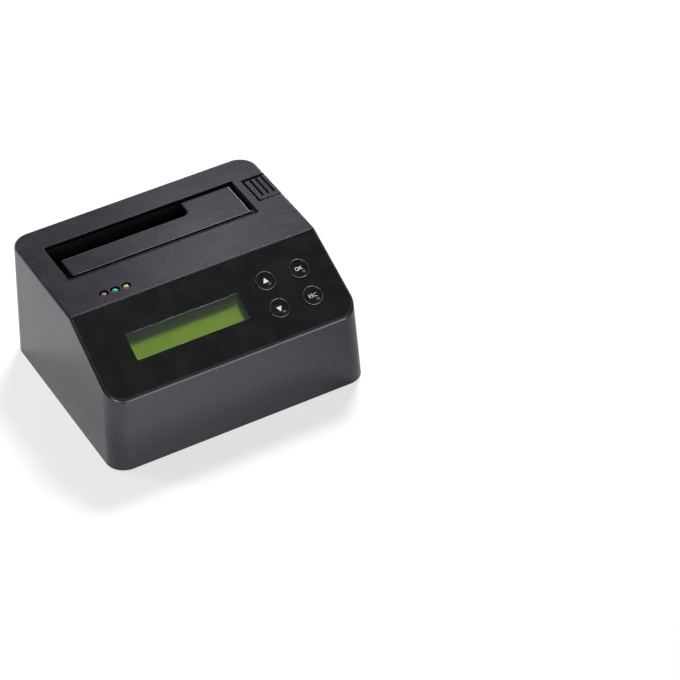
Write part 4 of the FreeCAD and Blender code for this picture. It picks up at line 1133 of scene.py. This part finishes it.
class DOCK_OT_flap(Operator):
    """Model the L-shaped flap with its barrel, web and ribs"""
    bl_idname = "dock.flap"
    bl_label = "Drive flap"

    def execute(self, context):
        s = sizes()
        left, right = flap_low.x, flap_high.x - s.barrel_overhang
        front, rear = flap_low.y + s.flap_setback, flap_high.y
        top, under = flap_high.z, flap_high.z - s.flap_thickness
        notch_right = slot_left() + s.flap_notch_width
        notch_front = front + s.flap_strip
        plate = block("drive_flap_plate", (left, front, under), (right, rear, top - s.flap_fall))
        notch = block("notch", (left - CLEAR, notch_front, under - MM), (notch_right, rear + CLEAR, top + MM))
        corner = Vector((notch_right, notch_front))

        def inner_corner(edge):
            return all((vert.co.xy - corner).length < NEAR for vert in edge.verts)

        cut(plate, round_edges(notch, inner_corner, s.flap_notch_corner, 10))
        with editing(plate, "FACE", faces_up):
            bpy.ops.mesh.inset(thickness=s.flap_bevel, depth=0)
            bpy.ops.transform.translate(value=(0, 0, s.flap_fall))
        web_rear = front + s.flap_bevel + s.flap_thickness
        web = block("web", (left, hinge.y, hinge.z - s.flap_web), (right, web_rear, hinge.z))
        axis_left, axis_right = Vector((left, hinge.y, hinge.z)), Vector((flap_high.x, hinge.y, hinge.z))
        barrel = rod("flap_barrel", s.barrel_diameter, axis_left, axis_right)
        stop_size, stop_reach, stop_gap = 1.6 * MM, 3.4 * MM, 0.4 * MM
        stop = block("stop", (flap_high.x - stop_size, hinge.y, hinge.z - stop_size),
                     (flap_high.x, hinge.y + stop_reach, hinge.z - stop_gap))
        unite(plate, web, stop)
        first, last = left + s.flap_rib_inset, right - s.flap_rib_inset - s.flap_rib
        ribs, from_front, overlap = 4, 2.4 * MM, 0.3 * MM
        for rib in range(ribs):
            x = first + rib * (last - first) / (ribs - 1)
            end = (rear if x > notch_right else notch_front) - s.flap_rib
            unite(plate, block("rib", (x, front + from_front, under - s.flap_rib_depth),
                               (x + s.flap_rib, end, under + overlap)))
        for part in (plate, barrel):
            cut(part, rod("bore", s.barrel_bore, axis_left - RIGHT * MM, axis_right + RIGHT * MM, 24))
            smooth(part, 15)
        flap_plastic = moulded("flap_plastic", colours().flap, 0.27, wear=0.45, specular=0.9)
        fit(plate, "flap", flap_plastic, "flap_plastic", "drive_flap")
        # The barrel's near-black colour is painted shade for the gap in front of the flap
        barrel_dark_for_shade = moulded("barrel_black", colours().barrel, 0.3, dust=0.0, specular=0.35)
        fit(barrel, "flap", barrel_dark_for_shade, "flap_plastic")
        return {"FINISHED"}


class DOCK_OT_springs(Operator):
    """Wind the flap's spring and the eject button's spring"""
    bl_idname = "dock.springs"
    bl_label = "Springs"

    def execute(self, context):
        self.flap_spring()
        self.eject_spring()
        return {"FINISHED"}

    def wound(self, name, radius, wire, pitch, turns):
        """A coil of round wire about the upright, starting at the origin's height."""
        coil = add(name, bpy.ops.mesh.primitive_circle_add, vertices=10, radius=wire / 2,
                   location=(radius, 0, 0), rotation=(QUARTER_TURN, 0, 0), fill_type="NOTHING")
        steps = 24 * turns
        apply(coil, "SCREW", axis="Z", angle=2 * math.pi * turns, screw_offset=pitch * turns, steps=steps,
              render_steps=steps, use_merge_vertices=False)
        with editing(coil, "EDGE", lambda edge: edge.is_boundary):
            bpy.ops.mesh.fill_holes(sides=0)
            bpy.ops.mesh.select_all(action="SELECT")
            bpy.ops.mesh.normals_make_consistent(inside=False)
        return coil

    def flap_spring(self):
        s = sizes()
        wire, pitch, turns = s.flap_wire, 0.5 * MM, 4
        pin_radius, play, from_slot = 0.5 * MM, 0.2 * MM, 0.4 * MM
        radius = pin_radius + play + wire / 2
        start = Vector((slot_left() + from_slot + wire, hinge.y, hinge.z))
        coil = self.wound("flap_coil", radius, wire, pitch, turns)
        settle(coil, Matrix.Translation(start) @ Matrix.Rotation(QUARTER_TURN, 4, "Y"))
        first = start - UP * radius
        last = first + RIGHT * pitch * turns
        on_well = Vector((first.x, slot_front() + s.seat_gap, first.z))
        gather(coil, rod("leg", wire, first, on_well, 10))
        fit(smooth(coil, 50), "dock", spring_steel(), "spring_steel", "flap_spring")
        reach, hook = 6 * MM, 3 * MM
        knee = Vector((last.x, last.y + reach, flap_high.z - s.flap_thickness - s.seat_gap - wire / 2))
        leg = rod("flap_coil_leg", wire, last, knee, 10)
        gather(leg, rod("hook", wire, knee, knee + RIGHT * hook, 10))
        fit(smooth(leg, 50), "flap", spring_steel(), "spring_steel")

    def eject_spring(self):
        s = sizes()
        wire, radius, turns = s.eject_wire, 2.5 * MM, 5
        low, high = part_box("eject_spring")
        tall = high.z - low.z
        spring = self.wound("eject_coil", radius, wire, (tall - wire) / turns, turns)
        settle(spring, Matrix.Translation(((low.x + high.x) / 2, (low.y + high.y) / 2, low.z + wire / 2)))
        fit(smooth(spring, 50), "dock", spring_steel(), "spring_steel", "eject_spring")
        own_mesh(spring)


class DOCK_OT_eject(Operator):
    """Model the grooved eject button that wraps over the right edge"""
    bl_idname = "dock.eject"
    bl_label = "Eject button"

    def execute(self, context):
        s = sizes()
        button_low, button_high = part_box("eject_button")
        top = button_high.z
        sunk = shell_high.z - top
        rim_round, skirt_drop = 0.25 * MM, 0.9 * MM
        cap = meet(outer_form("eject_cap"), block("space", *eject_space(s.eject_gap, s.eject_lip)))
        slice_off(cap, (0, 0, top), UP)
        top_rim, at_top = borders(is_top), lies_past(Z, top)
        round_edges(cap, lambda edge: top_rim(edge) and at_top(edge), rim_round)
        skirt_inset = s.wall + s.moving_gap
        inner_inset = skirt_inset + s.eject_skirt
        skirt = wedge("skirt", skirt_inset, 0, sunk + skirt_drop, 0)
        unite(cap, meet(skirt, block("space", *eject_space(s.eject_gap, 2 * s.eject_lip))))
        inner = wedge("inner", inner_inset, 0, sunk + s.eject_wall, 0)
        meet(inner, block("space", *eject_space(s.eject_gap + s.eject_wall, shell_high.z)))
        below = wedge("below", inner_inset, 0, s.eject_lip, 0)
        meet(below, block("space", (0, 0, 0), (shell_high.x, shell_high.y, shell_high.z - s.eject_lip)))
        cut(cap, inner, below)
        leg_x, leg_y, _ = middle_of("eject_spring")
        unite(cap, self.leg(leg_x, leg_y, button_low.z, top - MM))
        self.groove(cap, leg_y, top)
        smooth(cap)
        fit(cap, "ejector", housing_plastic(), "housing_plastic", "eject_button")
        return {"FINISHED"}

    def leg(self, x, y, low, high):
        """The round leg that presses on the lever."""
        radius = sizes().eject_leg / 2
        profile = [(0, low), *arc((0, low + radius), radius, -75, 0, 5), (radius, high), (0, high)]
        return settle(turned("leg", profile, 32), Matrix.Translation((x, y, 0)))

    def groove(self, cap, leg_y, top):
        """Cut the three grooves, steep on the right and rising to the left."""
        s = sizes()
        to_right, to_rear = 0.85 * MM, 0.9 * MM
        left_edge = eject_space(s.eject_gap, 0)[0].x
        middle = (left_edge + half_spread(0, shell_high.z)[0]) / 2 + to_right
        front = leg_y + to_rear - s.groove_length / 2
        for place in (-1, 0, 1):
            steep = middle + place * s.groove_pitch
            groove = block("groove", (steep - s.groove_width, front, top - s.groove_depth),
                           (steep, front + s.groove_length, top + MM))
            with editing(groove, "VERT", lambda vert: vert.co.x < steep - MM and vert.co.z < top):
                bpy.ops.transform.translate(value=(0, 0, s.groove_depth - s.groove_start))
            cut(cap, groove)


class DOCK_OT_underside(Operator):
    """Model the rubber feet and the base's cross-head screws"""
    bl_idname = "dock.underside"
    bl_label = "Feet and base screws"

    def execute(self, context):
        self.feet()
        self.screws()
        return {"FINISHED"}

    def feet(self):
        low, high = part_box("rubber_feet")
        radius, edge = sizes().foot_diameter / 2, 0.5 * MM
        hollow, hollow_floor, hollow_rim = 0.12 * MM, 3.6 * MM, 4.0 * MM
        profile = [(0, hollow), (hollow_floor, hollow), (hollow_rim, 0), (radius - edge, 0)]
        profile += arc((radius - edge, edge), edge, -60, 0, 3)
        profile += [(radius, high.z), (0, high.z)]
        inset = Vector((radius, radius, 0))
        feet = four_copies(turned("foot", profile), "feet", low + inset, high - inset)
        rubber = moulded("rubber_black", (0.018, 0.018, 0.019), 0.72, grain=1400.0, wear=0.3, dust=0.0,
                         relief=20e-6)
        fit(smooth(feet, 30), "dock", rubber, "rubber_black", "rubber_feet")

    def screws(self):
        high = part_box("base_screws")[1]
        face = shell_low.z
        head, shank, tip, from_edge = 2.65 * MM, 1.3 * MM, 0.4 * MM, 2.7 * MM
        head_bevel, head_face, head_rim, head_back = 0.2 * MM, 0.02 * MM, 0.12 * MM, 1.45 * MM
        profile = [(0, face + head_face), (head - head_bevel, face + head_face), (head, face + head_rim),
                   (shank, face + head_back), (shank, high.z - tip), (shank - tip, high.z), (0, high.z)]
        screw = turned("screw", profile, 32)
        arm_length, arm_width, arm_depth = 1.5 * MM, 0.36 * MM, MM
        for angle in (0, QUARTER_TURN):
            arm = block("arm", (-arm_length, -arm_width, face - MM),
                        (arm_length, arm_width, face + arm_depth))
            with editing(arm, "FACE", faces_up):
                bpy.ops.transform.resize(value=(0.35, 0.7, 1), center_override=(0, 0, face + arm_depth))
            cut(screw, settle(arm, Matrix.Rotation(angle, 4, "Z")))
        reach = Vector((high.x - from_edge, high.y - from_edge, 0))
        screws = four_copies(screw, "base_crosshead_screws", -reach, reach)
        fit(smooth(screws, 30), "dock", steel(), "steel", "base_screws")


class DOCK_OT_sockets(Operator):
    """Model the square socket, the power jack and the rocker with its marks"""
    bl_idname = "dock.sockets"
    bl_label = "Sockets and switch"

    def execute(self, context):
        self.square_socket()
        self.jack()
        self.rocker()
        return {"FINISHED"}

    def socket(self, name, node, radius):
        """A socket's block with its outer edges rounded."""
        low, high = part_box(node)
        return round_edges(block(name, low, high), lies_past(Y, high.y), radius), low, high

    def square_socket(self):
        s = sizes()
        shell, low, high = self.socket("usb_shell_folded", "usb_shell", 0.4 * MM)
        sheet = s.usb_sheet
        inner = block("inner", (low.x + sheet, low.y - MM, low.z - MM),
                      (high.x - sheet, high.y - sheet, high.z - sheet))
        middle = (low + high) / 2
        half = Vector((s.usb_mouth_width / 2, 0, s.usb_mouth_height / 2))
        mouth = block("mouth", middle - half - BACK * MM, middle + half + BACK * CLEAR)
        upper, deep = lies_past(Z, middle.z), runs(Y, MM)
        round_edges(mouth, lambda edge: upper(edge) and deep(edge), s.usb_chamfer, 1)
        smooth(cut(shell, inner, mouth))
        fit(shell, "dock", metal("usb_plate", (0.66, 0.66, 0.66), 0.28), "steel", "usb_shell")

    def jack(self):
        s = sizes()
        body, low, high = self.socket("dc_jack_body", "dc_jack", 0.5 * MM)
        bore, mouth = s.jack_bore / 2, s.jack_bore / 2 + s.jack_chamfer
        profile = [(0, -s.jack_depth), (bore, -s.jack_depth), (bore, -s.jack_chamfer), (mouth, 0),
                   (mouth, MM), (0, MM)]
        face = Matrix.Translation(((low.x + high.x) / 2, high.y, (low.z + high.z) / 2))
        cut(body, settle(turned("jack_bore", profile), face @ Matrix.Rotation(-QUARTER_TURN, 4, "X")))
        jack_black = moulded("jack_black", (0.013, 0.013, 0.014), 0.42, wear=0.2)
        fit(smooth(body), "dock", jack_black, "connector_black", "dc_jack")

    def rocker(self):
        s = sizes()
        pivot = Vector(joints["rocker_turn"]["pos_m"])
        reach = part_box("power_rocker")[1].z - pivot.z
        half, tall = s.rocker_length / 2, s.rocker_width / 2
        face, dip, root = s.rocker_face, s.rocker_dip, s.rocker_root
        tilt = math.radians(joints["rocker_turn"]["range_deg"][1] / 2)
        place = Matrix.Translation(pivot) @ Matrix.Rotation(-tilt, 4, "Z")
        body = block("power_rocker_body", (-half, -root, -tall), (half, face, tall))
        valley = block("valley", (-half - MM, face - dip - MM, -tall - MM), (half + MM, face + MM, tall + MM))
        for way in (-1, 1):
            slice_off(body, (way * half, face, 0), (way * (face + root), -root, 0))
            slice_off(valley, (0, face - dip, 0), (way * dip, -half, 0))
        cut(body, valley)
        sharp_angle, edge_round, trunnion_diameter = 0.6, 0.35 * MM, 2 * MM

        def is_sharp(edge):
            return len(edge.link_faces) == 2 and edge.calc_face_angle() > sharp_angle

        round_edges(body, is_sharp, edge_round)
        unite(body, rod("trunnion", trunnion_diameter, (0, 0, -reach), (0, 0, reach)))
        rocker_black = moulded("rocker_black", (0.014, 0.014, 0.015), 0.30, wear=0.3)
        fit(smooth(settle(body, place)), "rocker", rocker_black, "key_black", "power_rocker")
        ink, mark_x = 0.04 * MM, 0.55 * half
        bar_half, ring_diameter, eye_diameter = Vector((0.2 * MM, 1.2 * MM, ink)), 2.5 * MM, 1.75 * MM
        bar = block("rocker_mark_on", -bar_half, bar_half)
        ring = rod("rocker_mark_off", ring_diameter, (0, 0, -ink), (0, 0, ink))
        cut(ring, rod("eye", eye_diameter, (0, 0, -MM), (0, 0, MM)))
        stood_up = Matrix.Rotation(-QUARTER_TURN, 4, "X")
        for mark, way in ((bar, -1), (ring, 1)):
            spot = Matrix.Translation((way * mark_x, face - dip + dip * mark_x / half, 0))
            lean = Matrix.Rotation(way * math.atan2(dip, half), 4, "Z")
            smooth(settle(mark, place @ spot @ lean @ stood_up))
            fit(mark, "rocker", mark_ink(), "key_black")


class DOCK_OT_inside(Operator):
    """Give the frame's own pieces their finishes"""
    bl_idname = "dock.inside"
    bl_label = "Carried-over pieces"

    def execute(self, context):
        well = moulded("well_plastic", (0.020, 0.020, 0.021), 0.55)
        board = gloss("board_green", (0.012, 0.075, 0.030), 0.30)
        chip = moulded("chip_black", (0.014, 0.014, 0.015), 0.45, grain=4200.0, wear=0.1, dust=0.0)
        switch = moulded("switch_black", (0.016, 0.016, 0.017), 0.38, wear=0.3)
        clean = {"wear": 0.0, "dust": 0.0}
        plunger = moulded("plunger_tan", (0.30, 0.24, 0.17), 0.45, **clean)
        finishes = {
            "base_plate": housing_plastic(),
            "drive_well": well,
            "eject_lever": well,
            "lcd_bezel": metal("bezel_steel", (0.10, 0.10, 0.105), 0.45),
            "lcd_backlight": gloss("light_guide", (0.45, 0.55, 0.35), 0.2),
            "tact_switches": switch,
            "switch_frame": switch,
            "controller_chips": chip,
            "usb_insert": chip,
            "capacitors": metal("can_aluminium", (0.70, 0.70, 0.71), 0.35),
            "sata_connector": moulded("connector_black", (0.013, 0.013, 0.014), 0.42, wear=0.2),
            "sata_contacts": metal("contact_gold", (0.85, 0.60, 0.24), 0.2),
            "dc_pin": metal("pin_nickel", (0.7, 0.69, 0.66), 0.2),
            "flap_pin": spring_steel(),
            "led_leads": metal("tinned", (0.72, 0.71, 0.69), 0.3),
            "ribbon_sockets": moulded("socket_white", (0.62, 0.60, 0.55), 0.45, **clean),
            "display_ribbon": moulded("cable_white", (0.55, 0.55, 0.54), 0.5, **clean),
        }
        finishes.update({part + "_board": board for part in ("lcd", "key", "led", "main")})
        finishes.update({part: steel() for part in ("well_screws", "board_screws", "eject_pivot_pin")})
        finishes.update({"plunger_" + name: plunger for name in key_names})
        for name, finish in finishes.items():
            node = frame["nodes"][name]
            node.data.materials.clear()
            node.data.materials.append(finish)
        return {"FINISHED"}


class DOCK_OT_stage(Operator):
    """Set the floor, the lamps, the room light and the camera"""
    bl_idname = "dock.stage"
    bl_label = "Stage"

    def execute(self, context):
        view = context.scene.dock_view
        self.floor()
        self.room(context, view)
        self.lamps(view)
        self.camera(context, view)
        context.scene.view_settings.view_transform = "Standard"
        return {"FINISHED"}

    def floor(self):
        floor = add("floor", bpy.ops.mesh.primitive_plane_add, size=12, location=(0, 0, 0))
        finish = white_floor("floor_white")
        finish.cycles.emission_sampling = "NONE"
        floor.data.materials.append(finish)

    def room(self, context, view):
        """Dim light from all round, a soft patch overhead and a pale backdrop low behind."""
        world = bpy.data.worlds.new("room")
        world.use_nodes = True
        context.scene.world = world
        tree = world.node_tree
        way = add_node(tree, "TexCoord").outputs["Generated"]
        sky = spread(tree, agreement(tree, way, (0.47, -0.15, 0.87)), 0.78, 0.98, 0.0, view.sky_light)
        behind = spread(tree, agreement(tree, way, (0.0, 0.98, 0.20)), 0.45, 0.72, 0.0, view.backdrop_light)
        low = spread(tree, axes(tree, way)["Z"], 0.30, 0.50, 1.0, 0.0)
        patches = maths(tree, "ADD", sky, product(tree, behind, low))
        plug(tree, tree.nodes["Background"], Color=(0.97, 0.98, 1.0, 1.0),
             Strength=maths(tree, "ADD", patches, view.room_light))

    def lamps(self, view):
        """Round lamps, each seen in soft light, in gloss or in both, and a spot from low behind."""
        for name, target, way, distance, size, watts, share in (
            ("key_lamp", (0, 0, 0.05), (0.382, 0.405, 0.831), 0.95, 0.25, view.key_light, "diffuse"),
            ("gloss_lamp", (0, 0, 0.05), (0.371, 0.387, 0.844), 0.95, 0.30, view.gloss_light, "glossy"),
            ("rim_lamp", (0, -0.06, 0.05), (0.31, -0.89, 0.33), 0.9, 0.70, view.rim_light, "glossy"),
            ("corner_lamp", (-0.055, -0.06, 0.035), (-0.50, -0.74, 0.45), 0.9, 0.45, view.corner_light,
             "glossy"),
            ("edge_lamp", (0.05, 0.03, 0.068), (0.616, 0.678, 0.402), 1.0, 0.20, view.edge_light, "glossy"),
            ("left_lamp", (0, 0, 0.06), (-0.646, 0.60, 0.45), 1.0, 0.30, view.left_light, "diffuse"),
            ("spark_lamp", (0.042, -0.037, 0.057), (0.228, 0.006, 0.974), 1.2, 0.10, view.spark_light,
             "both"),
        ):
            lamp = self.lamp("AREA", name, Vector(target), Vector(way), distance, watts)
            lamp.data.shape = "DISK"
            lamp.data.size = size
            lamp.visible_diffuse = share != "glossy"
            lamp.visible_glossy = share != "diffuse"
        top_middle, low_behind = Vector((0.008, 0.002, 0.069)), Vector((0.338, 0.712, 0.616))
        spot = self.lamp("SPOT", "sheen_lamp", top_middle, low_behind, 1.0, view.sheen_light)
        spot.data.spot_size = math.radians(8.5)
        spot.data.spot_blend = 1.0
        spot.data.shadow_soft_size = 0.05

    def lamp(self, kind, name, target, way, distance, watts):
        """A lamp that stands off from a target and points at it."""
        place = target + way.normalized() * distance
        aim = (target - place).to_track_quat("-Z", "Y").to_euler()
        bpy.ops.object.light_add(type=kind, location=place, rotation=aim)
        lamp = bpy.context.active_object
        lamp.name = name
        lamp.data.energy = watts
        lamp.visible_camera = False
        return lamp

    def camera(self, context, view):
        aim = (Matrix.Rotation(view.turn, 3, "Z") @ Matrix.Rotation(QUARTER_TURN - view.drop, 3, "X")
               @ Matrix.Rotation(view.roll, 3, "Z"))
        bpy.ops.object.camera_add(location=view.place, rotation=aim.to_euler())
        camera = bpy.context.active_object
        camera.name = "camera"
        camera.data.sensor_width = 36
        camera.data.sensor_fit = "HORIZONTAL"
        camera.data.lens = view.lens
        camera.data.clip_end = 50
        context.scene.camera = camera


class DOCK_PT_dock(Panel):
    """Steps that build the dock"""
    bl_idname = "DOCK_PT_dock"
    bl_label = "Eraser Dock"
    bl_space_type = "VIEW_3D"
    bl_region_type = "UI"
    bl_category = "Dock"

    def draw(self, context):
        for step in steps:
            self.layout.operator(step.bl_idname)
        for group in (context.scene.dock_sizes, context.scene.dock_colours, context.scene.dock_view):
            column = self.layout.column()
            for name in group.__annotations__:
                column.prop(group, name)


steps = (
    DOCK_OT_housing, DOCK_OT_fascia, DOCK_OT_display, DOCK_OT_keys, DOCK_OT_lamps, DOCK_OT_flap,
    DOCK_OT_springs, DOCK_OT_eject, DOCK_OT_underside, DOCK_OT_sockets, DOCK_OT_inside, DOCK_OT_stage,
)
classes = (DockSizes, DockColours, DockView, *steps, DOCK_PT_dock)


def register():
    for each in classes:
        bpy.utils.register_class(each)
    bpy.types.Scene.dock_sizes = PointerProperty(type=DockSizes)
    bpy.types.Scene.dock_colours = PointerProperty(type=DockColours)
    bpy.types.Scene.dock_view = PointerProperty(type=DockView)


def unregister():
    del bpy.types.Scene.dock_view
    del bpy.types.Scene.dock_colours
    del bpy.types.Scene.dock_sizes
    for each in reversed(classes):
        bpy.utils.unregister_class(each)


def main():
    register()
    bpy.ops.dock.housing()
    bpy.ops.dock.fascia()
    bpy.ops.dock.display()
    bpy.ops.dock.keys()
    bpy.ops.dock.lamps()
    bpy.ops.dock.flap()
    bpy.ops.dock.springs()
    bpy.ops.dock.eject()
    bpy.ops.dock.underside()
    bpy.ops.dock.sockets()
    bpy.ops.dock.inside()
    bpy.ops.dock.stage()


if __name__ == "__main__":
    main()
